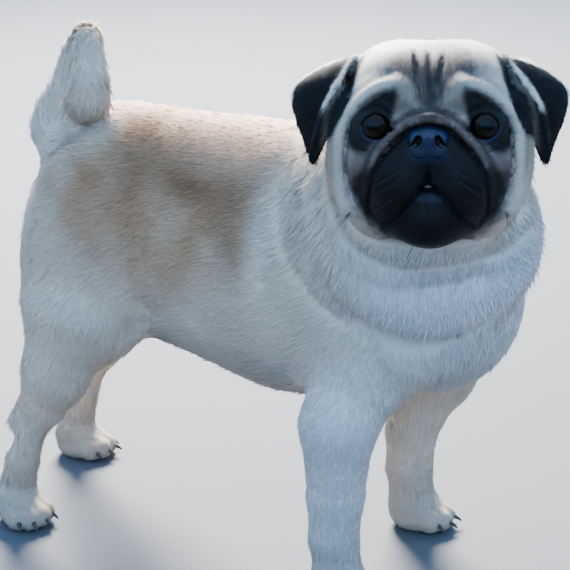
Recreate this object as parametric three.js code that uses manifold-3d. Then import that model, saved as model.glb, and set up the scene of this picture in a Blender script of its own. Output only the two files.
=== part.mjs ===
// A pug standing four-square, its head turned to look back over its right shoulder. Life size, in
// millimetres: +X runs from the rump to the chest, +Y to the dog's own left, +Z up, and the soles
// stand on Z = 0. The origin is on the floor, under the middle of the whole dog.
//
// Each part of the body is a field of overlapping muscle masses. Its skin is found by sending
// rays out from a core line until they leave the field, so a few named masses shape the animal.

import * as THREE from "three";
import { mergeVertices } from "three/addons/utils/BufferGeometryUtils.js";
import Module from "manifold-3d";

const wasm = await Module();
wasm.setup();

// Driving dimensions
const GAP = 0.35; // clearance between parts that meet
const BACK = 295; // floor to the topline, over the coat
const CHEST = 72; // half the width of the ribs
const FORE_X = 101; // forefeet ahead of the barrel's middle
const FORE_TRACK = 62; // half the distance between the forefeet
const HIND_X = -156; // right hind foot behind it
const HIND_STEP = 26; // the left hind foot stands this much farther back
const HIND_TRACK = 58;
const TOE_REACH = 21; // foot's middle to a toe's tip
const TOE_ANGLES = [-24, -8, 8, 24]; // degrees, of the claws from the foot's line
const HEAD_AT = [150, -46.5, 306.5];
const HEAD_YAW = -68; // degrees, turned to the dog's right
const HEAD_PITCH = 14; // degrees, face lifted
const HEAD_ROLL = 1.2; // degrees, its left side up
const EYE_RADIUS = 11;
const EYE = [33, 32, 10.5]; // left eyeball's centre, in the head's frame
const LID_RADIUS = 9.6; // middle of the eyelid's ring
const LID_THICKNESS = 5;
const LID_TURN = 16; // degrees that each eye looks outwards
const NOSE = [48, -1, 3.5]; // nose leather's centre, in the head's frame
const MOUTH = [-1, -24]; // across and up from the head's centre
const EAR_MIDDLE = -0.7; // the ears' middle line, across the head's frame
const FOLD_RADIUS = 5; // facial folds
const EAR_THICKNESS = 3.6;
const EAR_SWELL = 4; // depth of the ear's cup

const v = (x, y, z) => new THREE.Vector3(x, y, z);
const radians = THREE.MathUtils.degToRad;
const mix = THREE.MathUtils.lerp;

// Fields: functions of a point, negative inside the flesh

// An ellipsoid of half sizes a, b, c, turned about the Z axis and its nose lifted.
function blob([x, y, z], [a, b, c], turn = 0, lift = 0) {
  const toLocal = new THREE.Quaternion()
    .setFromEuler(new THREE.Euler(0, -radians(lift), radians(turn), "ZYX"))
    .invert();
  const centre = v(x, y, z);
  const q = v(0, 0, 0);
  return (p) => {
    q.copy(p).sub(centre).applyQuaternion(toLocal);
    const near = Math.hypot(q.x / a, q.y / b, q.z / c);
    const steep = Math.hypot(q.x / a ** 2, q.y / b ** 2, q.z / c ** 2);
    return steep < 1e-9 ? -Math.min(a, b, c) : (near * (near - 1)) / steep;
  };
}

// A tapered limb from one joint to the next, its thickness across the dog scaled by the factor flat.
function limb([ax, ay, az], [bx, by, bz], radiusA, radiusB, flat = 1) {
  const a = v(ax, ay / flat, az);
  const along = v(bx, by / flat, bz).sub(a);
  const q = v(0, 0, 0);
  return (p) => {
    q.set(p.x, p.y / flat, p.z).sub(a);
    const t = THREE.MathUtils.clamp(q.dot(along) / along.lengthSq(), 0, 1);
    return q.addScaledVector(along, -t).length() - mix(radiusA, radiusB, t);
  };
}

// A fold of skin: a cord of one thickness along a chain of points.
function fold(radius, ...path) {
  const pieces = path.slice(1).map((to, i) => limb(path[i], to, radius, radius));
  return (p) => Math.min(...pieces.map((piece) => piece(p)));
}

// A ring of loose skin about an axis through its centre.
function ruff([x, y, z], axis, ringRadius, radius) {
  const centre = v(x, y, z);
  const along = v(...axis).normalize();
  const q = v(0, 0, 0);
  return (p) => {
    q.copy(p).sub(centre);
    const height = q.dot(along);
    return Math.hypot(Math.sqrt(Math.max(q.lengthSq() - height ** 2, 0)) - ringRadius, height) - radius;
  };
}

// Several masses run together, with a fillet of about the given softness where they meet.
function fuse(softness, ...fields) {
  return (p) =>
    fields.reduce((sum, field) => {
      const next = field(p);
      const meet = Math.max(softness - Math.abs(sum - next), 0) / softness;
      return Math.min(sum, next) - (meet * meet * softness) / 4;
    }, 1e3);
}

// A field with others pressed into it as soft hollows.
function hollow(softness, field, ...presses) {
  return (p) =>
    presses.reduce((body, press) => {
      const cut = -press(p);
      const meet = Math.max(softness - Math.abs(body - cut), 0) / softness;
      return Math.max(body, cut) + (meet * meet * softness) / 4;
    }, field(p));
}

const both = (make) => [make(1), make(-1)];

// Skins

// Joins rings of equal count, and a point at each end, into one closed surface facing out.
function closeRings(rings, start, end) {
  const around = rings[0].length;
  const points = [start, ...rings.flat(), end];
  const at = (ring, i) => 1 + ring * around + (i % around);
  const faces = [];
  for (let i = 0; i < around; i++) {
    faces.push([0, at(0, i + 1), at(0, i)]);
    for (let ring = 0; ring + 1 < rings.length; ring++) {
      const [a, b, c, d] = [at(ring, i), at(ring, i + 1), at(ring + 1, i + 1), at(ring + 1, i)];
      const shorterOverAC = points[a].distanceTo(points[c]) < points[b].distanceTo(points[d]);
      if (shorterOverAC) faces.push([a, b, c], [a, c, d]);
      else faces.push([a, b, d], [b, c, d]);
    }
    faces.push([points.length - 1, at(rings.length - 1, i), at(rings.length - 1, i + 1)]);
  }
  return faceOut(points, faces);
}

// A closed surface, its faces turned over if they enclose a negative volume.
function faceOut(points, faces) {
  const cross = v(0, 0, 0);
  const volume = faces.reduce((sum, [a, b, c]) => {
    return sum + points[a].dot(cross.crossVectors(points[b], points[c]));
  }, 0);
  const outward = volume > 0 ? faces : faces.map(([a, b, c]) => [a, c, b]);
  return new THREE.BufferGeometry().setFromPoints(points).setIndex(outward.flat());
}

// The point where a ray from inside a field leaves it, grown outwards by the given amount.
function leave(field, from, direction, grow = 0) {
  const stride = 1.5;
  const reach = (distance) => from.clone().addScaledVector(direction, distance);
  let far = stride;
  while (field(reach(far)) < grow && far < 200) far += stride;
  let near = far - stride;
  for (let i = 0; i < 12; i++) {
    const middle = (near + far) / 2;
    if (field(reach(middle)) < grow) near = middle;
    else far = middle;
  }
  return reach(far);
}

// Casts a field's skin from a core line: rings across it, and a fan of rays at each end.
function castSkin(field, core, { along, around, fans, grow = 0 }) {
  const curve = new THREE.CatmullRomCurve3(core.map((p) => v(...p)), false, "centripetal");
  const side = v(0, 1, 0);
  const station = (t, tilt) => {
    const axis = curve.getTangentAt(t);
    const right = side.clone().addScaledVector(axis, -side.dot(axis)).normalize();
    return { from: curve.getPointAt(t), axis, right, up: v(0, 0, 0).crossVectors(axis, right), tilt };
  };
  const stations = [];
  const tiltAt = (i, end) => (90 * i) / (fans[end] + 1);
  for (let i = fans[0]; i > 0; i--) stations.push(station(0, -tiltAt(i, 0)));
  for (let i = 0; i <= along; i++) stations.push(station(i / along, 0));
  for (let i = 1; i <= fans[1]; i++) stations.push(station(1, tiltAt(i, 1)));
  const rings = stations.map(({ from, axis, right, up, tilt }) =>
    Array.from({ length: around }, (_, i) => {
      const angle = (i / around) * 2 * Math.PI;
      const direction = v(0, 0, 0)
        .addScaledVector(right, Math.cos(angle) * Math.cos(radians(tilt)))
        .addScaledVector(up, Math.sin(angle) * Math.cos(radians(tilt)))
        .addScaledVector(axis, Math.sin(radians(tilt)));
      return leave(field, from, direction, grow);
    }),
  );
  const first = station(0, 0);
  const last = station(1, 0);
  return closeRings(
    rings,
    leave(field, first.from, first.axis.clone().negate(), grow),
    leave(field, last.from, last.axis, grow),
  );
}

// A round cord along a path, with its radius given at even steps from end to end.
function roll(path, radii, { steps, sides }) {
  const curve = new THREE.CatmullRomCurve3(path.map((p) => v(...p)), false, "centripetal");
  const { normals, binormals } = curve.computeFrenetFrames(steps, false);
  const radiusAt = (t) => {
    const place = t * (radii.length - 1);
    const low = Math.min(Math.floor(place), radii.length - 2);
    return mix(radii[low], radii[low + 1], place - low);
  };
  const rings = Array.from({ length: steps + 1 }, (_, ring) =>
    Array.from({ length: sides }, (_, i) => {
      const angle = (i / sides) * 2 * Math.PI;
      const radius = radiusAt(ring / steps);
      return curve
        .getPointAt(ring / steps)
        .addScaledVector(normals[ring], radius * Math.cos(angle))
        .addScaledVector(binormals[ring], radius * Math.sin(angle));
    }),
  );
  const tipBeyond = (t) => curve.getTangentAt(t).multiplyScalar(radiusAt(t) * 0.6);
  return closeRings(
    rings,
    curve.getPointAt(0).sub(tipBeyond(0)),
    curve.getPointAt(1).add(tipBeyond(1)),
  );
}

// Solids

function solid(geometry) {
  const bare = geometry.clone();
  bare.deleteAttribute("normal");
  bare.deleteAttribute("uv");
  const merged = mergeVertices(bare);
  return new wasm.Manifold(
    new wasm.Mesh({
      numProp: 3,
      vertProperties: merged.attributes.position.array,
      triVerts: new Uint32Array(merged.index.array),
    }),
  );
}

// The largest closed body of a solid, so that a cut leaves no scrap behind.
function largest(body) {
  return body.decompose().reduce((best, next) => (next.volume() > best.volume() ? next : best));
}

const joined = (first, ...others) => others.reduce((sum, next) => sum.add(next), first);
const cutBy = (first, ...others) => largest(others.reduce((rest, next) => rest.subtract(next), first));

// Coat and skin colours, as seen in soft light
const finish = (color, roughness) => new THREE.MeshStandardMaterial({ color, roughness, metalness: 0 });
const FAWN = finish(0xdcc8a8, 0.85);
const BLACK_VELVET = finish(0x1d1a1b, 0.8);
const NOSE_LEATHER = finish(0x15151a, 0.35);
const EYE_BROWN = finish(0x2a1710, 0.08);
const CLAW_HORN = finish(0x2b2522, 0.45);
const TOOTH_IVORY = finish(0xe8e0cc, 0.3);

const pug = new THREE.Group();

function place(name, body, material, group = pug) {
  const { numProp, numVert, vertProperties, triVerts } = body.getMesh();
  const positions = new Float32Array(numVert * 3);
  for (let i = 0; i < numVert; i++) {
    positions.set(vertProperties.subarray(i * numProp, i * numProp + 3), i * 3);
  }
  const geometry = new THREE.BufferGeometry();
  geometry.setAttribute("position", new THREE.BufferAttribute(positions, 3));
  geometry.setIndex(new THREE.BufferAttribute(new Uint32Array(triVerts), 1));
  geometry.computeVertexNormals();
  const mesh = new THREE.Mesh(geometry, material);
  mesh.name = name;
  group.add(mesh);
}

// Torso: barrel ribs, tucked loin and a broad rump, under a level back
const torsoField = fuse(
  30,
  blob([40, 0, 204], [92, CHEST, 88]),
  blob([-40, 0, 212], [92, CHEST - 8, 77.5]),
  blob([-99, 0, 226], [56, 61, 61]),
  blob([-112, 0, 202], [49, 56, 46]),
  blob([134, 10, 194], [57, 62, 64]),
  limb([92, 0, BACK - 42], [-92, 0, BACK - 40], 36, 38),
  ...both((s) => blob([84, s * 38, 200], [34, 30, 56], 0, -12)),
);
const TORSO_CORE = [[-106, 0, 212], [-40, 0, 212], [60, 0, 205], [124, 4, 200]];
const torsoShape = (grow) =>
  solid(castSkin(torsoField, TORSO_CORE, { along: 14, around: 28, fans: [4, 4], grow }));
const torsoGrown = torsoShape(GAP);

// Neck: short and thick, bending to the dog's right, in loose rings of skin
const NECK_CORE = [[98, 2, 232], [118, -6, 252], [138, -28, 286]];
const neckField = fuse(
  8,
  fuse(24, limb(NECK_CORE[0], NECK_CORE[1], 66, 66), limb(NECK_CORE[1], NECK_CORE[2], 66, 52)),
  ruff([123, -3, 246], [0.5, -0.5, 0.7], 56, 28),
  ruff([145, -34, 295], [0.42, -0.85, 0.32], 47, 16),
);
const neckShape = (grow) =>
  solid(castSkin(neckField, NECK_CORE, { along: 11, around: 32, fans: [2, 2], grow }));

// Head, in its own frame: +X out of the face, +Y to the dog's left, +Z to the crown
const headFrame = new THREE.Group();
headFrame.position.set(...HEAD_AT);
headFrame.rotation.set(radians(HEAD_ROLL), -radians(HEAD_PITCH), radians(HEAD_YAW), "ZYX");
headFrame.updateMatrix();
const toBody = headFrame.matrix.elements;
const [EYE_X, EYE_Y, EYE_Z] = EYE;
const [NOSE_X, NOSE_Y, NOSE_Z] = NOSE;

const skull = fuse(
  20,
  blob([-8, 0, 6], [50, 54, 50]),
  blob([-4, 0, 22], [42, 38, 35]),
  ...both((s) => blob([4, s * 25, 26], [33, 23, 31])),
  ...both((s) => blob([2, s * 32, -16], [38, 24, 38])),
  blob([20, 0, -36], [30, 32, 24]),
);
const muzzle = fuse(
  7,
  ...both((s) => blob([38, s * 17, -21], [18, 18, 24])),
  blob([35, 0, -43], [18, 21, 18]),
  blob([40, 0, -2], [14, 20, 14]),
);
const nasal = (s) => [[45, 0, 15], [46, s * 11, 12], [43, s * 22, 4], [39, s * 31, -6], [32, s * 36, -17]];
const brow = (s) => [[37, s * 12, 24], [39, s * 21, 31], [35, s * 33, 31], [28, s * 42, 23]];
const cheek = (s) => [[20, s * 50, 26], [24, s * 55, 4], [24, s * 54, -18], [26, s * 47, -36]];
const folds = [nasal, brow, cheek].flatMap((path) => both((s) => fold(FOLD_RADIUS, ...path(s))));
const foreheadCrease = (s) => fold(2.2, [47, s * 5 - 2, 28], [46, s * 5 - 2, 40], [40, s * 5 - 2, 52]);
const eyeSocket = (s) => blob([EYE_X + 15, s * (EYE_Y + 2), EYE_Z], [11, 12, 10]);
const creases = [...both(foreheadCrease), ...both(eyeSocket)];
const headField = hollow(6, fuse(7, fuse(9, skull, muzzle), ...folds), ...creases);
const HEAD_CORE = [[-8, 0, -2], [0, 0, -2]];
const headShape = (grow) =>
  solid(castSkin(headField, HEAD_CORE, { along: 1, around: 50, fans: [4, 26], grow }));

// The point on the face straight ahead of a place on its upright plane
const onFace = ([y, z]) => [leave(headField, v(15, y, z), v(1, 0, 0)).x, y, z];
const grooveAlong = (places, radii) =>
  solid(roll(places.map(onFace), radii, { steps: 8, sides: 5 }));
const ellipsoid = ([x, y, z], [a, b, c]) =>
  solid(new THREE.SphereGeometry(1, 10, 8).scale(a, b, c).translate(x, y, z));

const eyeShape = (s, grow = 0) =>
  solid(new THREE.SphereGeometry(EYE_RADIUS + grow, 16, 10).translate(EYE_X, s * EYE_Y, EYE_Z));

// An almond ring of eyelid around the front of the eyeball, looking slightly outwards
function lids(s) {
  const ring = new THREE.TorusGeometry(LID_RADIUS, LID_THICKNESS / 2, 6, 20);
  ring.scale(1, 0.86, 1).rotateX(Math.PI / 2).rotateZ(-Math.PI / 2);
  ring.translate(EYE_RADIUS * 0.55, 0, 0).rotateZ(s * radians(LID_TURN));
  return solid(ring.translate(EYE_X, s * EYE_Y, EYE_Z));
}

const noseField = fuse(
  5,
  blob([NOSE_X, NOSE_Y, NOSE_Z + 0.3], [9, 8.6, 7.2]),
  ...both((s) => blob([NOSE_X - 1, NOSE_Y + s * 6.6, NOSE_Z - 1.6], [8, 4.8, 5.6])),
);
const noseShape = (grow) =>
  solid(
    castSkin(noseField, [[NOSE_X - 2, NOSE_Y, NOSE_Z], [NOSE_X, NOSE_Y, NOSE_Z]], {
      along: 1,
      around: 16,
      fans: [2, 4],
      grow,
    }),
  );
const nostril = (s) => {
  const comma = [[5.2, 1.6], [6.2, -1], [8.2, -3.4], [11.5, -4.6]];
  const path = comma.map(([y, z]) => [NOSE_X + 8.5 - 0.03 * y * y, NOSE_Y + s * y, NOSE_Z + z]);
  return solid(roll(path, [1.9, 2.1, 1.4, 0.7], { steps: 6, sides: 6 }));
};

// Mouth: the groove under the nose, the lips' line down each side, and the parted lips' pocket
const philtrum = grooveAlong([[NOSE_Y, NOSE_Z - 8], [-1, -14], MOUTH], [1, 1.1, 1.4]);
const lipLine = (s) =>
  grooveAlong([MOUTH, [s * 7, -28], [s * 12, -33.5], [s * 20, -42], [s * 29, -46]], [1.9, 1.5, 1]);
const [mouthX, mouthY, mouthZ] = onFace(MOUTH);
const mouthPocket = ellipsoid([mouthX, mouthY, mouthZ], [6, 5.5, 2.6]);
const teeth = ellipsoid([mouthX - 2, mouthY, mouthZ], [3, 3, 1.2]);

const head = cutBy(
  joined(headShape(0), lids(1), lids(-1)),
  eyeShape(1, GAP),
  eyeShape(-1, GAP),
  noseShape(GAP),
  lipLine(1),
  lipLine(-1),
  philtrum,
  mouthPocket,
);
place("head", head, FAWN, headFrame);
place("eye_left", eyeShape(1), EYE_BROWN, headFrame);
place("eye_right", eyeShape(-1), EYE_BROWN, headFrame);
place("nose", cutBy(noseShape(0), nostril(1), nostril(-1)), NOSE_LEATHER, headFrame);
place("teeth", teeth, TOOTH_IVORY, headFrame);

// Ears: a cupped leaf that rises from the crown's corner, folds, and hangs to a point
function earLeaf(s) {
  const rows = 11;
  const columns = 5;
  const inner = [
    [3, 36, 36],
    [10, 42, 51],
    [20, 47, 40.5],
    [23.5, 53.5, 24],
    [19, 58.5, 9],
    [9, 66.5, -8.5],
  ];
  const outer = [
    [-34, 44, 14],
    [-26, 72.5, 37],
    [-15, 81.5, 32.5],
    [-8, 79.5, 17.5],
    [-2, 74, 4],
    [5, 68.5, -10],
  ];
  const rim = (path) => {
    const points = path.map(([x, y, z]) => v(x, EAR_MIDDLE + s * y, z));
    return new THREE.CatmullRomCurve3(points, false, "centripetal");
  };
  const innerRim = rim(inner);
  const outerRim = rim(outer);
  const surface = (across, down) => {
    const point = innerRim.getPoint(down).lerp(outerRim.getPoint(down), across);
    const swell = EAR_SWELL * Math.sin(Math.PI * across) * Math.sin(Math.PI * Math.min(down * 1.1, 1));
    return point.add(v(swell * 0.5, s * swell, swell * 0.5));
  };
  const face = (offset) => {
    const grid = [];
    for (let row = 0; row <= rows; row++) {
      for (let column = 0; column <= columns; column++) {
        const a = mix(0.02, 0.98, column / columns);
        const d = mix(0.01, 0.97, row / rows);
        const across = surface(a + 0.01, d).sub(surface(a - 0.01, d));
        const down = surface(a, d + 0.01).sub(surface(a, d - 0.01));
        grid.push(surface(a, d).addScaledVector(across.cross(down).normalize(), offset));
      }
    }
    return grid;
  };
  const points = [...face(EAR_THICKNESS / 2), ...face(-EAR_THICKNESS / 2)];
  const under = (rows + 1) * (columns + 1);
  const at = (row, column) => row * (columns + 1) + column;
  const faces = [];
  const edge = (a, b) => faces.push([a, b, under + b], [a, under + b, under + a]);
  for (let row = 0; row < rows; row++) {
    for (let column = 0; column < columns; column++) {
      const [a, b] = [at(row, column), at(row, column + 1)];
      const [c, d] = [at(row + 1, column + 1), at(row + 1, column)];
      faces.push([a, c, b], [a, d, c]);
      faces.push([under + a, under + b, under + c], [under + a, under + c, under + d]);
    }
    edge(at(row + 1, 0), at(row, 0));
    edge(at(row, columns), at(row + 1, columns));
  }
  for (let column = 0; column < columns; column++) {
    edge(at(0, column), at(0, column + 1));
    edge(at(rows, column + 1), at(rows, column));
  }
  return faceOut(points, faces);
}
const headGrown = headShape(GAP);
const neckGrown = neckShape(GAP);
const headGrownOnBody = headGrown.transform(toBody);
const toHead = new THREE.Matrix4().fromArray(toBody).invert().elements;
for (const [side, s] of [["left", 1], ["right", -1]]) {
  const ear = cutBy(solid(earLeaf(s)), headGrown, neckGrown.transform(toHead));
  place("ear_" + side, ear, BLACK_VELVET, headFrame);
}

place("torso", cutBy(torsoShape(0), headGrownOnBody), FAWN);
place("neck", cutBy(neckShape(0), torsoGrown, headGrownOnBody), FAWN);

// Feet: a pad with a flat sole, and four arched toes fanned over its front
const hindX = (s) => HIND_X - (s > 0 ? HIND_STEP : 0);
const turnOut = (end, s) => s * (end === "hind" && s < 0 ? 24 : 8); // degrees
const TOE_HEIGHT = 8;
const toeTip = (end, s, x, y, degrees) => {
  const length = TOE_REACH * (Math.abs(degrees) < 10 ? 1 : 0.86);
  const angle = radians(1.45 * degrees + turnOut(end, s));
  return [x + length * Math.cos(angle), y + length * Math.sin(angle), TOE_HEIGHT];
};
const foot = (end, s, x, y) => {
  const toes = TOE_ANGLES.map((degrees) => {
    const tip = toeTip(end, s, x, y, degrees);
    return limb([mix(x - 4, tip[0], 0.1), mix(y, tip[1], 0.6), 14], tip, 10, 8.5);
  });
  return fuse(2.5, blob([x + 4, y, TOE_HEIGHT], [19, 17, 11], turnOut(end, s)), ...toes);
};

// A leg's skin in level slices from the sole up, each cast from the bone line, finer in front.
function castLeg(field, bones, heights, grow) {
  const around = 20;
  const frontBias = 0.45;
  const centreAt = (height) => {
    const upper = Math.max(bones.findIndex(([, , z]) => z >= height), 1);
    const [ax, ay, az] = bones[upper - 1];
    const [bx, by, bz] = bones[upper];
    const t = (height - az) / (bz - az);
    return v(mix(ax, bx, t), mix(ay, by, t), height);
  };
  const rings = heights.map((height) =>
    Array.from({ length: around }, (_, i) => {
      const turn = (i / around) * 2 * Math.PI;
      const angle = turn - frontBias * Math.sin(turn);
      return leave(field, centreAt(height), v(Math.cos(angle), Math.sin(angle), 0), grow);
    }),
  );
  const top = leave(field, centreAt(heights.at(-1)), v(0, 0, 1), grow);
  return solid(closeRings(rings, centreAt(heights[0]), top));
}

// Upper arm twice over, forearm, wrist and pastern
function foreLeg(s, grow) {
  const y = s * FORE_TRACK;
  const lean = s > 0 ? 14 : 0; // the left leg slants back from a forward shoulder
  const field = fuse(
    12,
    limb([124 + 1.4 * lean, s * 40, 166], [103 + 1.4 * lean, y, 116], 29, 12 + 0.5 * lean),
    limb([104, s * 36, 176], [98 + 0.5 * lean, y, 124], 34, 20),
    limb([99 + 1.2 * lean, y, 122], [FORE_X - 3, y, 72], 24, 17.5),
    limb([FORE_X - 3, y, 76], [FORE_X - 4, y, 44], 17.5, 15.5),
    limb([FORE_X - 4, y, 44], [FORE_X - 1, y, 20], 15.5, 16),
    foot("fore", s, FORE_X, y),
  );
  const bones = [
    [FORE_X, y, 0],
    [FORE_X, y, 16],
    [FORE_X - 3, y, 30],
    [FORE_X - 4, y, 66],
    [100 + 0.7 * lean, y, 120],
    [112 + 0.7 * lean, s * 46, 160],
    [120 + lean, s * 38, 188],
  ];
  const heights = [0, 4, 9, 14, 21, 30, 48, 72, 94, 110, 126, 144, 162, 178, 188];
  return castLeg(field, bones, heights, grow);
}

// Haunch, thigh and gaskin, the cord of the heel, and the hock
function hindLeg(s, grow) {
  const y = s * HIND_TRACK;
  const x = hindX(s);
  const hip = HIND_X + 55 - 4 * s;
  const field = fuse(
    12,
    blob([hip - 3, s * 41, 180], [51, 29, 56], 0, 6),
    limb([hip - 10, s * 50, 156], [x + 38, y, 118], 39, 23, 0.78),
    limb([x + 38, y, 118], [x + 29, y, 94], 23, 14.5, 0.78),
    limb([x + 29, y, 94], [x + 17, y, 73], 14.5, 9, 0.85),
    limb([x + 18, y, 104], [x + 4, y, 78], 5, 7),
    limb([x + 17, y, 73], [x + 7, y, 48], 9, 11.5, 0.9),
    limb([x + 7, y, 48], [x, y, 20], 11.5, 14),
    foot("hind", s, x + 2, y),
  );
  const bones = [
    [x + 2, y, 0],
    [x + 1, y, 16],
    [x, y, 28],
    [x + 6, y, 48],
    [x + 14, y, 73],
    [x + 27, y, 94],
    [x + 38, y, 118],
    [hip, s * 46, 178],
    [hip + 4, s * 41, 224],
  ];
  const heights = [0, 4, 9, 14, 21, 30, 48, 66, 80, 94, 110, 128, 150, 174, 196, 214, 224];
  return castLeg(field, bones, heights, grow);
}

// A claw that curves down from a toe's tip
function clawShape([x, y, z], turn) {
  const out = (reach, drop) => [x + reach * Math.cos(turn), y + reach * Math.sin(turn), z - drop];
  const path = [out(6, 0.5), out(10, 2), out(12.5, 5)];
  return solid(roll(path, [2.4, 1.9, 0.6], { steps: 2, sides: 5 }));
}

function placeLeg(end, side, s, leg, x, track) {
  const legGrown = leg(s, GAP);
  place(`leg_${end}_${side}`, cutBy(leg(s, 0), torsoGrown, neckGrown), FAWN);
  TOE_ANGLES.forEach((degrees, i) => {
    const tip = toeTip(end, s, x, s * track, degrees);
    const claw = cutBy(clawShape(tip, radians(degrees + turnOut(end, s))), legGrown);
    place(`claw_${end}_${side}_${i + 1}`, claw, CLAW_HORN);
  });
}
for (const [side, s] of [["left", 1], ["right", -1]]) {
  placeLeg("fore", side, s, foreLeg, FORE_X, FORE_TRACK);
  placeLeg("hind", side, s, hindLeg, hindX(s) + 2, HIND_TRACK);
}

// Tail: rises from the croup, folds over at the top and hangs down over the dog's right hip
const TAIL_PATH = [
  [-124, 0, 256],
  [-142, 2, 276],
  [-135, 4, 304],
  [-127, 0, 326],
  [-113, -12, 342],
  [-103, -24, 318],
  [-103, -28, 306],
];
const TAIL_RADII = [28.5, 25.5, 20.5, 16, 12, 12.5, 17];
const tail = solid(roll(TAIL_PATH, TAIL_RADII, { steps: 18, sides: 12 }));
place("tail", cutBy(tail, torsoGrown), FAWN);

pug.add(headFrame);

// Sets the origin on the floor under the middle of the dog.
const extent = new THREE.Box3().setFromObject(pug, true);
pug.position.set(-(extent.min.x + extent.max.x) / 2, -(extent.min.y + extent.max.y) / 2, 0);

export default pug;
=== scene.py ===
"""Looks of the pug: one skin under a coat of fine tufts, with eyes, nose leather, teeth, claws
and whiskers. Shapes are worked out in the dog's own millimetres, as in the solids (+X to the
chest, +Y to the dog's left, +Z up), and move into the frame, in metres, when a mesh is made.
"""

import math

import bpy
import numpy as np
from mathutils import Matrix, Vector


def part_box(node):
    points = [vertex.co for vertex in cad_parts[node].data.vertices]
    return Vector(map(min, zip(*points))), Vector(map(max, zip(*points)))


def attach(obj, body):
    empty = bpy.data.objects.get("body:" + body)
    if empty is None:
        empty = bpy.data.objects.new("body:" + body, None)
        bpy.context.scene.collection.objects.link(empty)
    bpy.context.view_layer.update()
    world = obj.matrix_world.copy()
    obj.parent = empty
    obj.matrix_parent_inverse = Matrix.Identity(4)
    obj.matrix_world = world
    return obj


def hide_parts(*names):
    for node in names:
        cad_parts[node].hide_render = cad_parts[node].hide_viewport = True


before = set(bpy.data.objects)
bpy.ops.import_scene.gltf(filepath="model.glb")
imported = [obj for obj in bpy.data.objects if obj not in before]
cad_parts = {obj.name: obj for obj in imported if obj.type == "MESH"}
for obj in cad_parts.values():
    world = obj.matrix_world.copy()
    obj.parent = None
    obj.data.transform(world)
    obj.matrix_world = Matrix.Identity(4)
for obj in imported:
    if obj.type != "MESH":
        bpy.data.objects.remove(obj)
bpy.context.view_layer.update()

import openvdb
from mathutils import Matrix, Vector

bl_info = {
    "name": "Pug",
    "version": (1, 0, 0),
    "blender": (4, 5, 0),
    "location": "3D View > Sidebar > Pug",
    "description": "Builds the skin, coat, eyes, nose and claws of a life-size pug over its frame",
    "category": "Add Mesh",
}

# Driving sizes of the body, shared with the solids
BACK, CHEST = 295, 72
FORE_X, FORE_TRACK = 101, 62
HIND_X, HIND_STEP, HIND_TRACK = -156, 26, 58
TOE_REACH, TOE_HEIGHT = 21, 8
TOE_ANGLES = (-24, -8, 8, 24)
HEAD_AT = np.array((150, -46.5, 306.5))
HEAD_YAW, HEAD_PITCH, HEAD_ROLL = -68, 14, 1.2
EYE_RADIUS = 11
EYE_X, EYE_Y, EYE_Z = 33, 32, 10.5
NOSE_X, NOSE_Y, NOSE_Z = 48, -1, 3.5
MOUTH_Y, MOUTH_Z = -1, -24
MIDDLE = -0.7
SIDES = (1, -1)
NAMED_SIDES = (("left", 1), ("right", -1))
MM = 1000


def turned(turn=0.0, lift=0.0, roll=0.0):
    """Axes, as columns, of a frame turned about Z, its nose lifted, then rolled, in degrees."""
    t, l, r = np.radians((turn, -lift, roll))
    about_z = np.array([[np.cos(t), -np.sin(t), 0], [np.sin(t), np.cos(t), 0], [0, 0, 1]])
    about_y = np.array([[np.cos(l), 0, np.sin(l)], [0, 1, 0], [-np.sin(l), 0, np.cos(l)]])
    about_x = np.array([[1, 0, 0], [0, np.cos(r), -np.sin(r)], [0, np.sin(r), np.cos(r)]])
    return about_z @ about_y @ about_x


HEAD_AXES = turned(HEAD_YAW, HEAD_PITCH, HEAD_ROLL)


def from_head(points):
    """Points of the head's frame in the dog's frame."""
    return np.asarray(points, float) @ HEAD_AXES.T + HEAD_AT


def into_head(points):
    """Points of the dog's frame in the head's frame: +X out of the face, +Z to the crown."""
    return ((points - HEAD_AT) @ HEAD_AXES).astype(np.float32)


# The dog's origin in the frame is read from where its left eyeball was packed.
EYE_BOX = np.array(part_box("eye_left"))
ORIGIN = EYE_BOX.mean(0) * MM - from_head([EYE_X, EYE_Y, EYE_Z])


def in_frame(points):
    """Points of the dog's frame, in millimetres, in the row frame, in metres."""
    return (np.asarray(points, float) + ORIGIN) / MM


def step(low, high, value):
    """Smooth step from 0 at low to 1 at high."""
    t = np.clip((value - low) / (high - low), 0, 1)
    return t * t * (3 - 2 * t)


def unit(vectors):
    """The vectors at length 1."""
    return vectors / np.maximum(np.linalg.norm(vectors, axis=-1, keepdims=True), 1e-6)


def at_share(shares, values):
    """Values given at even steps along something, read at shares of its length."""
    return np.interp(shares, np.linspace(0, 1, len(values)), values)


def square_gaps(points, chain):
    """Squared distance from each point to each place of a chain."""
    return (points**2).sum(1)[:, None] - 2 * (points @ chain.T) + (chain**2).sum(1)


# Fields: functions of points, negative inside the flesh


def blob(centre, half, turn=0.0, lift=0.0):
    """An ellipsoid, turned about Z and its nose lifted."""
    centre, half = np.float32(centre), np.float32(half)
    axes = turned(turn, lift).astype(np.float32)

    def field(p):
        q = (p - centre) @ axes
        near = np.linalg.norm(q / half, axis=1)
        steep = np.linalg.norm(q / half**2, axis=1)
        return near * (near - 1) / np.maximum(steep, 1e-6)

    return field


def limb(start, end, radius_a, radius_b, flat=1.0):
    """A tapered limb between two joints, its thickness across the dog scaled by flat."""
    squash = np.float32((1, 1 / flat, 1))
    a, b = np.float32(start) * squash, np.float32(end) * squash
    along = b - a

    def field(p):
        q = p * squash - a
        t = np.clip(q @ along / (along @ along), 0, 1)
        return np.linalg.norm(q - t[:, None] * along, axis=1) - (radius_a + (radius_b - radius_a) * t)

    return field


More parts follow.
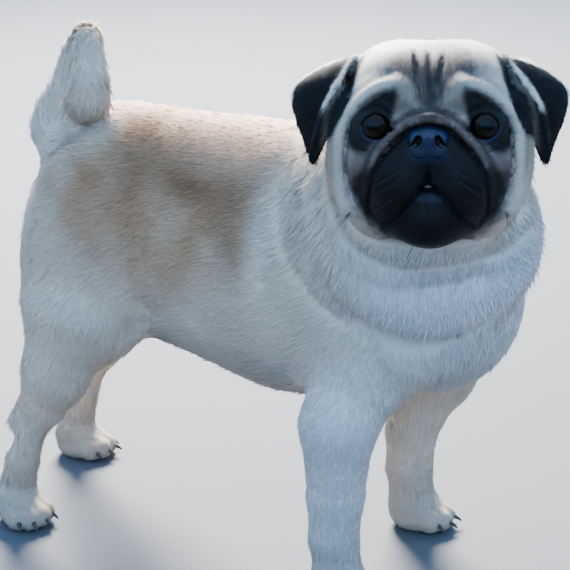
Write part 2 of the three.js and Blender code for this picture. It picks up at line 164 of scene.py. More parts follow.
def smooth_path(points, shares):
    """Centripetal Catmull-Rom curve through a chain of points."""
    points = np.asarray(points, float)
    last = len(points) - 1
    place = np.asarray(shares, float) * last
    index = np.minimum(place.astype(int), last - 1)
    w = (place - index)[:, None]
    chain = np.vstack([2 * points[0] - points[1], points, 2 * points[-1] - points[-2]])
    p0, p1, p2, p3 = (chain[index + k] for k in range(4))
    d0, d1, d2 = (
        np.sqrt(np.linalg.norm(b - a, axis=1, keepdims=True)) for a, b in ((p0, p1), (p1, p2), (p2, p3))
    )
    out = ((p1 - p0) / d0 - (p2 - p0) / (d0 + d1) + (p2 - p1) / d1) * d1
    into = ((p2 - p1) / d1 - (p3 - p1) / (d1 + d2) + (p3 - p2) / d2) * d1
    bend = -3 * p1 + 3 * p2 - 2 * out - into
    twist = 2 * p1 - 2 * p2 + out + into
    return p1 + out * w + bend * w**2 + twist * w**3


def even_path(points, spacing):
    """Points at even steps along the smooth curve, and each one's share of the length."""
    fine = smooth_path(points, np.linspace(0, 1, 24 * len(points)))
    run = np.concatenate([[0], np.cumsum(np.linalg.norm(np.diff(fine, axis=0), axis=1))])
    shares = np.linspace(0, 1, max(int(run[-1] / spacing), 3))
    return np.stack([np.interp(shares * run[-1], run, axis) for axis in fine.T], 1), shares


def cord(points, radii, spacing=0.8):
    """A round cord along a path, its radius given at even steps."""
    centres, shares = even_path(points, spacing)
    radius = at_share(shares, radii).astype(np.float32)
    centres = centres.astype(np.float32)

    def field(p):
        return (np.sqrt(np.maximum(square_gaps(p, centres), 0)) - radius).min(1)

    return field


def ruff(centre, axis, ring_radius, radius):
    """A ring of loose skin about an axis."""
    centre, axis = np.float32(centre), unit(np.float32(axis))

    def field(p):
        q = p - centre
        height = q @ axis
        across = np.sqrt(np.maximum((q**2).sum(1) - height**2, 0))
        return np.hypot(across - ring_radius, height) - radius

    return field


def melt(a, b, softness):
    """Two field values run together, with a fillet of about that softness."""
    meet = np.maximum(softness - np.abs(a - b), 0) / softness
    return np.minimum(a, b) - meet * meet * softness / 4


def fuse(softness, *fields):
    """Fields run together in turn, each with a fillet of that softness."""

    def field(p):
        total = fields[0](p)
        for other in fields[1:]:
            total = melt(total, other(p), softness)
        return total

    return field


def hollow(softness, field_values, p, *presses):
    """Field values with others pressed in as soft hollows."""
    for press in presses:
        field_values = -melt(-field_values, press(p), softness)
    return field_values


FAR = 99


def near(low, high, field, margin=26):
    """A field worked out only near a box, and far outside elsewhere, to save time."""
    low, high = np.float32(low) - margin, np.float32(high) + margin

    def bounded(p):
        inside = ((p > low) & (p < high)).all(1)
        values = np.full(len(p), FAR, np.float32)
        if inside.any():
            values[inside] = field(p[inside])
        return values

    return bounded


def nearer(fields):
    """The smaller of two fields at each point."""
    return lambda p: np.minimum(*(field(p) for field in fields))


def both(make):
    """One of each for the left and the right."""
    return [make(s) for s in SIDES]


# Body masses, as in the solids
torso = fuse(
    30,
    blob((40, 0, 204), (92, CHEST, 88)),
    blob((-40, 0, 212), (92, CHEST - 8, 77.5)),
    blob((-99, 0, 226), (56, 61, 61)),
    blob((-112, 0, 202), (49, 56, 46)),
    blob((134, 10, 194), (57, 62, 64)),
    limb((92, 0, BACK - 42), (-92, 0, BACK - 40), 36, 38),
    *both(lambda s: blob((84, s * 38, 200), (34, 30, 56), 0, -12)),
)
NECK_CORE = ((98, 2, 232), (118, -6, 252), (138, -28, 286))
neck = near(
    (50, -100, 165),
    (225, 75, 345),
    fuse(
        8,
        fuse(24, limb(NECK_CORE[0], NECK_CORE[1], 66, 66), limb(NECK_CORE[1], NECK_CORE[2], 66, 52)),
        ruff((123, -3, 246), (0.5, -0.5, 0.7), 56, 28),
        ruff((145, -34, 295), (0.42, -0.85, 0.32), 47, 16),
    ),
)
TAIL_PATH = (
    (-124, 0, 256),
    (-142, 2, 276),
    (-135, 4, 304),
    (-127, 0, 326),
    (-113, -12, 342),
    (-103, -24, 318),
    (-103, -28, 306),
)
TAIL_RADII = (28.5, 25.5, 20.5, 16, 12, 12.5, 17)
tail = near((-172, -50, 225), (-80, 35, 360), cord(TAIL_PATH, TAIL_RADII, 2))


def hind_x(s):
    """How far along the dog a hind foot stands; the left one is set back."""
    return HIND_X - (HIND_STEP if s > 0 else 0)


def turn_out(end, s):
    """Degrees by which a foot turns outwards."""
    return s * (24 if end == "hind" and s < 0 else 8)


def toe_tip(end, s, x, y, degrees):
    """The middle of a toe's end; the two middle toes reach farther."""
    reach = TOE_REACH * (1 if abs(degrees) < 10 else 0.86)
    angle = math.radians(1.45 * degrees + turn_out(end, s))
    return np.array((x + reach * math.cos(angle), y + reach * math.sin(angle), TOE_HEIGHT))


def foot(end, s, x, y):
    """A pad and four arched toes, with a furrow between neighbours."""
    toes = []
    for degrees in TOE_ANGLES:
        tip = toe_tip(end, s, x, y, degrees)
        knuckle = (x - 4 + 0.1 * (tip[0] - x + 4), y + 0.6 * (tip[1] - y), 14)
        toes.append(limb(knuckle, tip, 10, 8.5))
    return fuse(2.0, blob((x + 4, y, TOE_HEIGHT), (19, 17, 11), turn_out(end, s)), *toes)


def fore_leg(s):
    """A foreleg, from its shoulder to its toes; the left one leans forward."""
    y = s * FORE_TRACK
    lean = 14 if s > 0 else 0
    return near(
        (70, min(y, s * 36) - 36, -5),
        (165, max(y, s * 36) + 36, 215),
        fuse(
            12,
            limb((124 + 1.4 * lean, s * 40, 166), (103 + 1.4 * lean, y, 116), 29, 12 + 0.5 * lean),
            limb((104, s * 36, 176), (98 + 0.5 * lean, y, 124), 34, 20),
            fuse(
                3,
                limb((99 + 1.2 * lean, y, 122), (FORE_X - 3, y, 72), 24.5, 18.8),
                limb((FORE_X - 3, y, 76), (FORE_X - 4, y, 44), 19.2, 17),
                limb((FORE_X - 4, y, 44), (FORE_X - 1, y, 20), 17, 16.5),
            ),
            foot("fore", s, FORE_X, y),
        ),
    )


def hind_leg(s):
    """A hind leg, from its thigh over the hock to its toes."""
    y = s * HIND_TRACK
    x = hind_x(s)
    hip = HIND_X + 55 - 4 * s
    return near(
        (x - 25, min(y, s * 41) - 34, -5),
        (hip + 55, max(y, s * 41) + 34, 240),
        fuse(
            12,
            blob((hip - 3, s * 41, 180), (51, 29, 56), 0, 6),
            limb((hip - 10, s * 50, 156), (x + 38, y, 118), 39, 23, 0.78),
            limb((x + 18, y, 104), (x + 4, y, 78), 5, 7),
            fuse(
                3,
                limb((x + 38, y, 118), (x + 29, y, 94), 24, 16, 0.78),
                limb((x + 29, y, 94), (x + 17, y, 73), 16, 11, 0.85),
                limb((x + 17, y, 73), (x + 7, y, 48), 11, 12.5, 0.9),
                limb((x + 7, y, 48), (x, y, 20), 12.5, 14.5),
            ),
            foot("hind", s, x + 2, y),
        ),
    )


# Head masses, in the head's frame
skull = fuse(
    20,
    blob((-8, 0, 6), (50, 54, 50)),
    blob((-4, 0, 22), (42, 38, 35)),
    *both(lambda s: blob((4, s * 25, 26), (33, 23, 31))),
    *both(lambda s: blob((2, s * 32, -16), (38, 24, 38))),
    blob((20, 0, -36), (30, 32, 24)),
)
muzzle = fuse(
    7,
    *both(lambda s: blob((38, s * 17, -21), (18, 18, 24))),
    blob((35, 0, -43), (18, 21, 18)),
    blob((40, 0, -2), (14, 20, 14)),
)
FOLDS = (
    ((45, 0, 15), (46, 11, 12), (43, 22, 4), (39, 31, -6), (32, 36, -17)),
    ((37, 12, 24), (39, 21, 31), (35, 33, 31), (28, 42, 23)),
    ((20, 50, 26), (24, 55, 4), (24, 54, -18), (26, 47, -36)),
)


def mirrored(path, s, middle=0.0):
    """A path of the face's left half, on the half asked for."""
    return [(x, middle + s * y, z) for x, y, z in path]


face_folds = [cord(mirrored(path, s), (5, 5)) for path in FOLDS for s in SIDES]
eye_sockets = both(lambda s: blob((EYE_X + 15, s * (EYE_Y + 2), EYE_Z), (11, 12, 10)))
plain_head = fuse(7, fuse(9, skull, muzzle), *face_folds)


IN_FRONT_OF_FACE, HALVINGS = 80, 14


def on_face(path, lift=0.0):
    """Places given across and up the face, on its surface and raised by lift."""
    path = np.asarray(path, np.float32)
    low, high = np.zeros(len(path), np.float32), np.full(len(path), IN_FRONT_OF_FACE, np.float32)
    for _ in range(HALVINGS):
        middle = (low + high) / 2
        inside = plain_head(np.column_stack([middle, path])) < 0
        low, high = np.where(inside, middle, low), np.where(inside, high, middle)
    return np.column_stack([low + lift, path])


# Paths across and up the face, in millimetres, for its left half; the right is its mirror
ROLL = ((0, 14.8), (7.5, 13.7), (15, 9.9), (22.5, 3.8), (28.7, -3.2), (32, -10.5), (33.5, -17), (34, -23))
ROLL_TOP = ((0, 19), (7.5, 18), (15, 14.4), (22.5, 8.4), (29, 1.2), (33.5, -6.5), (36.5, -16))
ROLL_FOOT = ((0, 10.6), (7.5, 9.5), (13, 6.8), (20.4, 0), (26.8, -7.6), (30.7, -15.5), (32, -24))
FLEW_EDGE = ((32, -24), (33, -31), (32.5, -38), (28.5, -45))
LIP = ((0, -23.5), (7.5, -28.5), (11.8, -33), (16.5, -38.4), (21, -42.5), (26.5, -45.3), (31, -45.8))
EYE_FOLD = (
    (18, 37), (22.4, 34.8), (31, 31), (38.5, 25.4), (44.4, 19.6), (49, 12), (51.8, 2.6), (52.4, -8),
    (51.4, -19), (48, -31), (43, -40),
)
EYE_FOLD_INSIDE = (
    (21, 29.5), (29.5, 27), (36.5, 21.5), (42, 14.5), (45.5, 8), (47.5, 0), (48, -8), (47, -18), (44, -28),
)
EYE_FOLD_OUTSIDE = ((24, 39.5), (33, 35.5), (41, 30), (48, 23), (53, 14), (56, 3), (56.5, -8), (55, -20))

# Each ridge or crease: its path, half its width, and its heights at even steps
RIDGES = (
    (ROLL, 4.0, (2.7, 2.9, 3.0, 2.9, 2.4, 1.0)),
    (EYE_FOLD, 4.2, (0.6, 1.8, 2.0, 2.0, 1.7, 1.1, 0.4)),
    (((21, 19), (27, 23.5), (35, 24.2), (42, 18)), 2.4, (0.3, 0.9, 0.9, 0.2)),
    (((24, 3), (30, -1.5), (37, -0.8), (43, 4)), 2.4, (0.3, 0.9, 0.9, 0.2)),
)
CREASES = (
    (ROLL_TOP, 1.7, (-1.4, -1.5, -1.5, -1.4, -0.6)),
    (ROLL_FOOT, 1.5, (-2.2, -2.4, -2.4, -2.2, -1.8)),
    (FLEW_EDGE, 1.6, (-1.8, -1.8, -1.5, -0.9)),
    (LIP, 1.35, (-3.0, -3.2, -3.2, -3.0, -2.4, -1.4, -0.1)),
    (((0, -6), (0, -13), (0, -22)), 0.75, (-0.5, -1.1, -2.2)),
    (EYE_FOLD_INSIDE, 1.6, (-0.8, -1.7, -1.8, -1.7, -1.4, -0.5)),
    (EYE_FOLD_OUTSIDE, 2.2, (-0.4, -1.0, -1.2, -1.0, -0.4)),
    (((0.5, 22), (0, 32), (0, 44), (0.5, 54)), 1.2, (-0.9, -1.6, -1.7, -0.4)),
    (((6.6, 29), (6.4, 38), (7.5, 47), (8, 53)), 1.3, (-0.3, -1.3, -1.8, -0.4)),
    (((15, -8.5), (22, -11.5), (29, -15)), 0.75, (-0.3, -0.8, -0.3)),
    (((14.5, -13.5), (22, -17.5), (30, -22)), 0.8, (-0.3, -0.95, -0.3)),
    (((16, -18.5), (22, -22.5), (29, -27)), 0.75, (-0.3, -0.9, -0.3)),
    (((18, -24.5), (23, -28), (27, -32)), 0.75, (-0.2, -0.6, -0.2)),
    (((22, 17.5), (28, 20.5), (35, 20.8), (41, 16)), 0.9, (-0.4, -1.0, -1.0, -0.4)),
    (((26, 2), (31, -3.5), (37, -3), (42, 1.5)), 0.9, (-0.2, -0.9, -0.9, -0.3)),
    (((0, -36), (0, -43)), 0.9, (-0.5, -0.3)),
)
# Each swelling: its middle, half sizes and height
SWELLS = (
    ((17, -21), (13, 13), 2.2),
    ((22, -34), (9, 10), 1.4),
    ((13.5, 28), (6.5, 9), 1.8),
    ((41, -9), (7, 10), 1.0),
    ((0, -31), (8, 3.2), 0.9),
    ((0, -42), (13, 9), 0.9),
)
CHIN = [
    *((-y, z) for y, z in LIP[::-1]), *LIP[1:],
    (28, -56), (12, -68), (-12, -68), (-28, -56),
]
CHIN_STEP = 2.0


def stroke_gap(across_up, path, s):
    """Distance from places on the face to a path, on one half, and the share along the path."""
    centres, shares = even_path([(0, MIDDLE + s * y, z) for y, z in path], 1.0)
    square = square_gaps(across_up, centres[:, 1:])
    nearest = square.argmin(1)
    return np.sqrt(np.maximum(square[np.arange(len(nearest)), nearest], 0)), shares[nearest]


def inside_share(across_up, corners, soft):
    """1 inside an outline across and up the face, 0 outside, over a soft edge."""
    corners = np.asarray(corners, float)
    gap = np.full(len(across_up), 1e9)
    inside = np.zeros(len(across_up), bool)
    for a, b in zip(corners, np.roll(corners, -1, 0)):
        along = b - a
        t = np.clip((across_up - a) @ along / (along @ along), 0, 1)
        gap = np.minimum(gap, np.linalg.norm(across_up - a - t[:, None] * along, axis=1))
        crosses = (a[1] > across_up[:, 1]) != (b[1] > across_up[:, 1])
        rise = along[1] if abs(along[1]) > 1e-9 else 1e-9
        inside ^= crosses & (across_up[:, 0] < along[0] * (across_up[:, 1] - a[1]) / rise + a[0])
    return step(-soft, soft, np.where(inside, gap, -gap))


class FaceMap:
    """Height and depth of shade over the face, worked out once on a grid across and up it."""

    low, pitch, count = np.array((-68.0, -74.0)), 0.5, (273, 281)

    def __init__(self):
        grid = self.low + self.pitch * np.stack(np.meshgrid(*map(np.arange, self.count), indexing="ij"), -1)
        places = grid.reshape(-1, 2)
        ridge, crease, swell = (np.zeros(len(places)) for _ in range(3))
        for s in SIDES:
            for path, half, heights in RIDGES:
                gap, share = stroke_gap(places, path, s)
                bell = np.maximum(1 - (gap / half) ** 2, 0) ** 0.8
                ridge = np.maximum(ridge, at_share(share, heights) * bell)
            for path, half, heights in CREASES:
                gap, share = stroke_gap(places, path, s)
                crease = np.minimum(crease, at_share(share, heights) * np.exp(-((gap / half) ** 2)))
            for middle, half, height in SWELLS:
                q = (places - (MIDDLE + s * middle[0], middle[1])) / half
                swell = np.maximum(swell, height * np.exp(-(q**2).sum(1)))
        chin = inside_share(places, [(MIDDLE + y, z) for y, z in CHIN], 0.9)
        chin *= step(29, 19, np.abs(places[:, 0] - MIDDLE))
        self.height = (ridge + crease + swell - CHIN_STEP * chin).reshape(self.count)
        self.shade = np.clip(-crease / 1.8, 0, 1).reshape(self.count)

    def at(self, grid, h):
        """The grid's values at points of the head's frame."""
        place = (h[:, 1:] - self.low) / self.pitch
        place = np.clip(place, 0, np.array(grid.shape) - 1.001)
        cell = place.astype(int)
        a, b = (place - cell).T
        i, j = cell.T
        low = grid[i, j] * (1 - b) + grid[i, j + 1] * b
        high = grid[i + 1, j] * (1 - b) + grid[i + 1, j + 1] * b
        return low * (1 - a) + high * a


face_map = FaceMap()
mouth_pocket = blob(on_face([(MOUTH_Y, MOUTH_Z - 0.5)])[0], (7, 5.6, 2.3))
mouth_slit = blob(on_face([(MOUTH_Y, MOUTH_Z + 3.5)])[0], (5, 1.6, 4.5))


def eye_centre(s):
    """An eyeball's middle, in the head's frame."""
    return np.float32((EYE_X, s * EYE_Y, EYE_Z))


def into_eye(p, s):
    """Points of the head's frame from an eyeball's middle."""
    return p - eye_centre(s)


OPENING_Y, OPENING_Z = 7.9, 7.3
OPENING_AT = (-1.6, -0.4)
LID_DEPTH, SOCKET_INSIDE_BALL = 1.6, 1.5


def opening(q, s):
    """The round opening between the lids, with a small inner corner, seen along the gaze."""
    y, z = q[:, 1] - s * OPENING_AT[0], q[:, 2] - OPENING_AT[1]
    almond = (np.hypot(y / OPENING_Y, z / OPENING_Z) - 1) * OPENING_Z
    corner = (np.hypot((y + s * 7.6) / 2.4, (z + 1.6) / 1.3) - 1) * 1.3
    return melt(almond, corner, 1.5)


def head_detail(p):
    """The whole head, in its own frame: masses, folds, creases, lids, mouth."""
    flesh = plain_head(p)
    flesh = hollow(6, flesh, p, *eye_sockets)
    close = (flesh < 9) & (p[:, 0] > 0)
    face = p[close]
    relief = face_map.at(face_map.height, face) * step(2, 16, face[:, 0])
    values = flesh[close] - relief.astype(np.float32)
    values = hollow(1.2, values, face, mouth_pocket, mouth_slit)
    for s in SIDES:
        q = into_eye(face, s)
        ball = np.linalg.norm(q, axis=1)
        gap = opening(q, s)
        lid = -melt(-(ball - EYE_RADIUS - LID_DEPTH), gap, 1.2)
        values = melt(values, lid, 3.5)
        window = np.maximum(np.maximum(gap, EYE_RADIUS - SOCKET_INSIDE_BALL - ball), -q[:, 0])
        values = -melt(-values, window, 0.8)
    flesh[close] = values
    return flesh


# Ears: a leaf between an inner and an outer rim, in the head's frame
EAR_INNER = ((3, 36, 36), (10, 42, 51), (20, 47, 40.5), (23.5, 53.5, 24), (19, 58.5, 9), (9, 66.5, -8.5))
EAR_OUTER = ((-34, 44, 14), (-26, 72.5, 37), (-15, 81.5, 32.5), (-8, 79.5, 17.5), (-2, 74, 4), (5, 68.5, -10))
EAR_SWELL = 4
EAR_ACROSS, EAR_DOWN = 34, 64
# How far down the leaf its black begins, at places across it; above it the leaf is painted pale, a painted
# highlight where its folded top catches the light
EAR_CREST = ((0.1, 0.3, 0.5, 0.65, 0.85, 0.97), (0.25, 0.29, 0.32, 0.36, 0.4, 0.5))
# The fold down each leaf, along which a pale painted highlight runs: places down it, and how far across the
# fold lies there
EAR_FOLDS = {
    1: ((0.31, 0.39, 0.45, 0.51, 0.6, 0.65, 0.76, 0.84), (0.02, 0.05, 0.1, 0.14, 0.22, 0.27, 0.35, 0.47)),
    -1: ((0.4, 0.46, 0.53, 0.59, 0.67, 0.73, 0.84, 0.91), (0.01, 0.04, 0.07, 0.11, 0.16, 0.19, 0.28, 0.37)),
}


class Ear:
    """One ear's leaf, sampled: its points, faces' normals, lie of the hair and places on it."""

    def __init__(self, s):
        self.side = s
        inner, outer = (mirrored(rim, s, MIDDLE) for rim in (EAR_INNER, EAR_OUTER))
        across, down = np.meshgrid(
            np.linspace(0.02, 0.98, EAR_ACROSS), np.linspace(0.0, 0.975, EAR_DOWN), indexing="ij"
        )
        self.across, self.down = across.ravel(), down.ravel()

        def leaf(a, d):
            swell = EAR_SWELL * np.sin(np.pi * a) * np.sin(np.pi * np.minimum(d * 1.1, 1))
            swell = swell + 1.5 * np.exp(-(((a - self.fold_at(d)) / 0.07) ** 2)) * step(0.25, 0.4, d)
            rims = smooth_path(inner, d) * (1 - a)[:, None] + smooth_path(outer, d) * a[:, None]
            return rims + swell[:, None] * np.array((0.5, s, 0.5))

        nudge = 0.01
        a, d = self.across, self.down
        self.points = leaf(a, d).astype(np.float32)
        side = leaf(a + nudge, d) - leaf(a - nudge, d)
        self.lie = unit(leaf(a, np.minimum(d + nudge, 1)) - leaf(a, np.maximum(d - nudge, 0)))
        self.normal = unit(np.cross(side, self.lie)).astype(np.float32)
        edge = np.minimum(a, 1 - a)
        self.half = (0.9 + 0.6 * step(0, 0.25, edge)).astype(np.float32)
        self.crest = np.interp(a, *EAR_CREST)
        self.field = near(self.points.min(0), self.points.max(0), self.distance, 14)

    def fold_at(self, down):
        """Where the fold runs down the leaf, as a share of the way across it; its painted highlight follows
        it.
        """
        return np.interp(down, *EAR_FOLDS[self.side])

    def nearest(self, p, batch=20000):
        """Which of the leaf's points is nearest to each point."""
        index = np.empty(len(p), int)
        square = (self.points**2).sum(1)
        for i in range(0, len(p), batch):
            part = p[i : i + batch]
            index[i : i + batch] = (square - 2 * (part @ self.points.T)).argmin(1)
        return index

    def distance(self, p):
        """The leaf's field."""
        index = self.nearest(p)
        q = p - self.points[index]
        rise = (q * self.normal[index]).sum(1)
        slide = np.sqrt(np.maximum((q**2).sum(1) - rise**2, 0))
        return np.hypot(np.maximum(slide - 0.9, 0), rise) - self.half[index]


ears = [Ear(s) for s in SIDES]
HEAD_REACH = 88


def near_head(make):
    """A field of the head's frame, used in the dog's frame."""
    return near(HEAD_AT - HEAD_REACH, HEAD_AT + HEAD_REACH, lambda p: make(into_head(p)), 0)


ear_field = near_head(nearer([ear.field for ear in ears]))
PARTS = ("torso", "neck", "head", "fore", "hind", "tail", "ear")
PART_FIELDS = (
    torso, neck, near_head(head_detail), nearer(both(fore_leg)), nearer(both(hind_leg)), tail, ear_field,
)


def flesh_parts(p):
    """Each part's field at the points, in the order of PARTS."""
    return [field(p) for field in PART_FIELDS]


# Creases of the loose skin over the body: a chain of places, half a width, how deep, how dark its painted
# shade is, and how far the skin swells beside it on the head's side
UPPER_RING = (
    (88, -64, 285), (93, -70, 275), (101, -74, 263), (110, -76, 251), (120, -76, 244), (133, -74, 239),
    (145, -69, 236), (159, -62, 236), (171, -52, 237), (181, -38, 238), (187, -15, 238), (192, 7, 242),
    (194, 28, 248),
)
LOWER_RING = (
    (73, -64, 264), (80, -73, 248), (92, -78, 229), (104, -78, 213), (114, -75, 204), (125, -70, 195),
    (138, -64, 189), (151, -56, 185), (163, -47, 184), (176, -38, 188), (188, -24, 195), (194, -13, 203),
    (197, -2, 210),
)
TAIL_ROOT = ((-87, -29, 300), (-92, -36, 294), (-104, -36, 286), (-115, -37, 278), (-127, -37, 269))
BODY_CREASES = (
    (UPPER_RING, 4.5, 6.0, 0.85, 3.4),
    (LOWER_RING, 6.5, 4.0, 0.25, 2.4),
    (((70, -51, 281), (69, -58, 272), (71, -65, 261), (74, -71, 249), (79, -74, 238)), 6.5, 2.8, 0.45, 1.0),
    (((37, -51, 269), (37, -59, 255), (39, -65, 241), (43, -70, 225), (51, -73, 209)), 9.0, 2.2, 0.0, 0.0),
    (((125, -69, 193), (128, -68, 174), (134, -65, 155), (135, -60, 145)), 8.0, 2.4, 0.12, 0.0),
    (((-61, -54, 152), (-52, -54, 165), (-40, -58, 175), (-29, -61, 178)), 7.0, 2.6, 0.25, 0.0),
    (((-35, -65, 207), (-35, -64, 193), (-40, -60, 180), (-52, -54, 165)), 9.0, 2.0, 0.0, 0.0),
    (TAIL_ROOT, 5.0, 2.5, 0.7, 0.0),
)


class BodyCreases:
    """The creases' lines, sampled once, with their depth and shade at points."""

    def __init__(self):
        self.lines = []
        for path, half, deep, dark, swell in BODY_CREASES:
            line, along = even_path(path, 2.0)
            taper = np.sqrt(np.sin(np.pi * (0.04 + 0.92 * along))).astype(np.float32)
            beside = line + unit(HEAD_AT - line) * 2.1 * half
            chains = ((line.astype(np.float32), half, -deep), (beside.astype(np.float32), 1.5 * half, swell))
            self.lines.append((chains, taper, 3.2 * half, dark))

    def at(self, p):
        """How far the skin rises at points, and how dark the painted shade is in the creases."""
        rise, shade = np.zeros(len(p), np.float32), np.zeros(len(p), np.float32)
        for chains, taper, reach, dark in self.lines:
            line = chains[0][0]
            close = ((p > line.min(0) - reach) & (p < line.max(0) + reach)).all(1)
            if not close.any():
                continue
            for chain, size, height in chains:
                if not height:
                    continue
                square = square_gaps(p[close], chain)
                nearest = square.argmin(1)
                gap = np.maximum(square[np.arange(len(nearest)), nearest], 0)
                bell = np.exp(-gap / size**2) * taper[nearest]
                rise[close] += height * bell
                if height < 0:
                    shade[close] = np.maximum(shade[close], dark * bell)
        return rise, shade


body_creases = BodyCreases()

# How deep the skin lies under the coat's surface on each part
COAT_DEPTH = np.float32((1.7, 2.1, 1.1, 1.3, 1.6, 3.2, 0.2))
# Fillet where each part joins the ones before it
FILLETS = {"fore": 14, "hind": 14, "neck": 7, "tail": 9, "head": 3}
SOLE, SOLE_EDGE = 0.3, 1.2


def shares(parts, blend=5.0):
    """How much each part counts at a point, from its closeness."""
    stack = np.stack(parts, 1)
    weight = np.exp(-(stack - stack.min(1, keepdims=True)) / blend)
    return weight / weight.sum(1, keepdims=True)


def face_share(h):
    """1 on the front of the face, 0 behind the cheeks and on the crown's back."""
    return step(6, 26, h[:, 0]) * step(-75, -62, h[:, 2])


def skin_field(p, ear_growth=0.0):
    """The one skin's field: all flesh run together, less the coat's depth; ears can be fuller."""
    p = p.astype(np.float32)
    parts = flesh_parts(p)
    named = dict(zip(PARTS, parts))
    flesh = named["torso"]
    for name, softness in FILLETS.items():
        flesh = melt(flesh, named[name], softness)
    flesh = flesh - body_creases.at(p)[0]
    weight = shares(parts)
    depth = weight @ COAT_DEPTH
    h = into_head(p)
    depth = depth * (1 - weight[:, 2] * (0.45 * face_share(h)))
    for s in SIDES:
        depth *= step(12, 19, np.linalg.norm(h - eye_centre(s), axis=1))
    paws = (weight[:, 3] + weight[:, 4]) * step(34, 14, p[:, 2])
    depth = depth * (1 - 0.6 * paws)
    base = step(26, 40, h[:, 2]) * step(30, 16, h[:, 0])
    skin = melt(flesh + depth, named["ear"] - ear_growth, 1.2 + 4 * base)
    return -melt(-skin, p[:, 2] - SOLE, SOLE_EDGE)


def slopes(field, p, values, reach=0.35):
    """The field's gradient at the points, by differences."""
    grown = [field(p + np.float32(reach) * axis) for axis in np.eye(3, dtype=np.float32)]
    return np.stack([(g - values) / reach for g in grown], 1)


def net(field, low, high, spacing, coarse_step=4):
    """A closed net of triangles on a field's surface, from a grid that is fine near it only."""
    low, high = np.array(low, float), np.array(high, float)
    counts = np.ceil((high - low) / spacing).astype(int) + 1
    coarse_counts = counts // coarse_step + 2
    axes = [low[k] + spacing * coarse_step * np.arange(coarse_counts[k]) for k in range(3)]
    grid = np.stack(np.meshgrid(*axes, indexing="ij"), -1).reshape(-1, 3)
    coarse = field(grid).reshape(coarse_counts)
    index = np.indices(counts).reshape(3, -1)
    rough = coarse[tuple((index + coarse_step // 2) // coarse_step)]
    close = np.abs(rough) < spacing * coarse_step * 1.35
    values = rough.astype(np.float32)
    values[close] = field(low + spacing * index[:, close].T)
    grid = openvdb.FloatGrid()
    grid.copyFromArray(values.reshape(counts))
    points, triangles, quads = grid.convertToPolygons(isovalue=0.0, adaptivity=0.0)
    faces = np.vstack([triangles, quads[:, (0, 1, 2)], quads[:, (0, 2, 3)]]).astype(np.int64)
    points = low + spacing * points.astype(float)
    a, b, c = (points[faces[:, k]] for k in range(3))
    if np.einsum("ij,ij->", a, np.cross(b, c)) < 0:
        faces = faces[:, ::-1]
    return points, faces


def settle(field, points, rounds=3):
    """Moves points onto the field's surface."""
    for _ in range(rounds):
        values = field(points)
        slope = slopes(field, points, values)
        move = -(values / np.maximum((slope**2).sum(1), 0.05))[:, None] * slope
        length = np.linalg.norm(move, axis=1, keepdims=True)
        points = points + move * np.minimum(1, 1.2 / np.maximum(length, 1e-6))
    return points


def refine(points, faces, chosen):
    """Halves the edges whose two ends are chosen, and splits their triangles to suit."""
    edges = np.sort(np.stack([faces, np.roll(faces, -1, 1)], -1).reshape(-1, 2), 1)
    unique, inverse = np.unique(edges, axis=0, return_inverse=True)
    inverse = inverse.reshape(-1, 3)
    cut = chosen[unique].all(1)
    number = np.full(len(unique), -1)
    number[cut] = len(points) + np.arange(cut.sum())
    points = np.vstack([points, points[unique[cut]].mean(1)])
    middle = number[inverse]
    count = (middle >= 0).sum(1)
    parts = [faces[count == 0]]
    for wanted in (1, 2, 3):
        rows = faces[count == wanted]
        mids = middle[count == wanted]
        if wanted == 3:
            a, b, c = rows.T
            ab, bc, ca = mids.T
            new = [(a, ab, ca), (ab, b, bc), (ca, bc, c), (ab, bc, ca)]
        else:
            first = (mids >= 0).argmax(1) if wanted == 1 else ((mids < 0).argmax(1) + 1) % 3
            turn = (first[:, None] + np.arange(3)) % 3
            a, b, c = np.take_along_axis(rows, turn, 1).T
            ab, bc, _ = np.take_along_axis(mids, turn, 1).T
            new = [(a, ab, c), (ab, b, c)] if wanted == 1 else [(a, ab, c), (ab, bc, c), (ab, b, bc)]
        parts += [np.stack(t, 1) for t in new]
    return points, np.vstack(parts)


# Colours and markings, with painted light and shade


def linear(colour):
    """An sRGB hex colour as linear red, green and blue."""
    value = np.array([int(colour[i : i + 2], 16) / 255 for i in (1, 3, 5)])
    return np.where(value <= 0.04045, value / 12.92, ((value + 0.055) / 1.055) ** 2.4)


def ripple(p, size, seed, stretch=(1, 1, 1)):
    """Smooth noise of about -1 to 1 with features of the given size, drawn out along stretch."""
    rng = np.random.default_rng(seed)
    waves = unit(rng.normal(size=(16, 3))) * (2 * np.pi / size) * rng.uniform(0.5, 1.5, (16, 1))
    return np.sin(p @ (waves / np.array(stretch)).T + rng.uniform(0, 6.28, 16)).sum(1) / 4


def tint(base, colour, share):
    """Moves colours towards one colour by a share at each point."""
    return base + (linear(colour) - base) * np.clip(share, 0, 1)[:, None]


def painted(base, *layers):
    """Colours with layers laid over them in turn, each a colour and its share at each point."""
    for colour, share in layers:
        base = tint(base, colour, share)
    return base


def stroke_share(h, path, width, soft, s=1):
    """1 along a path across and up the face, fading out past half its width."""
    gap, _ = stroke_gap(h[:, 1:], path, s)
    return step(width / 2 + soft, width / 2 - soft, gap)


def spot_share(h, centre, half, soft):
    """1 inside an ellipse across and up the face."""
    reach = np.hypot((h[:, 1] - centre[0]) / half[0], (h[:, 2] - centre[1]) / half[1])
    return step(1 + soft, 1 - soft, reach)


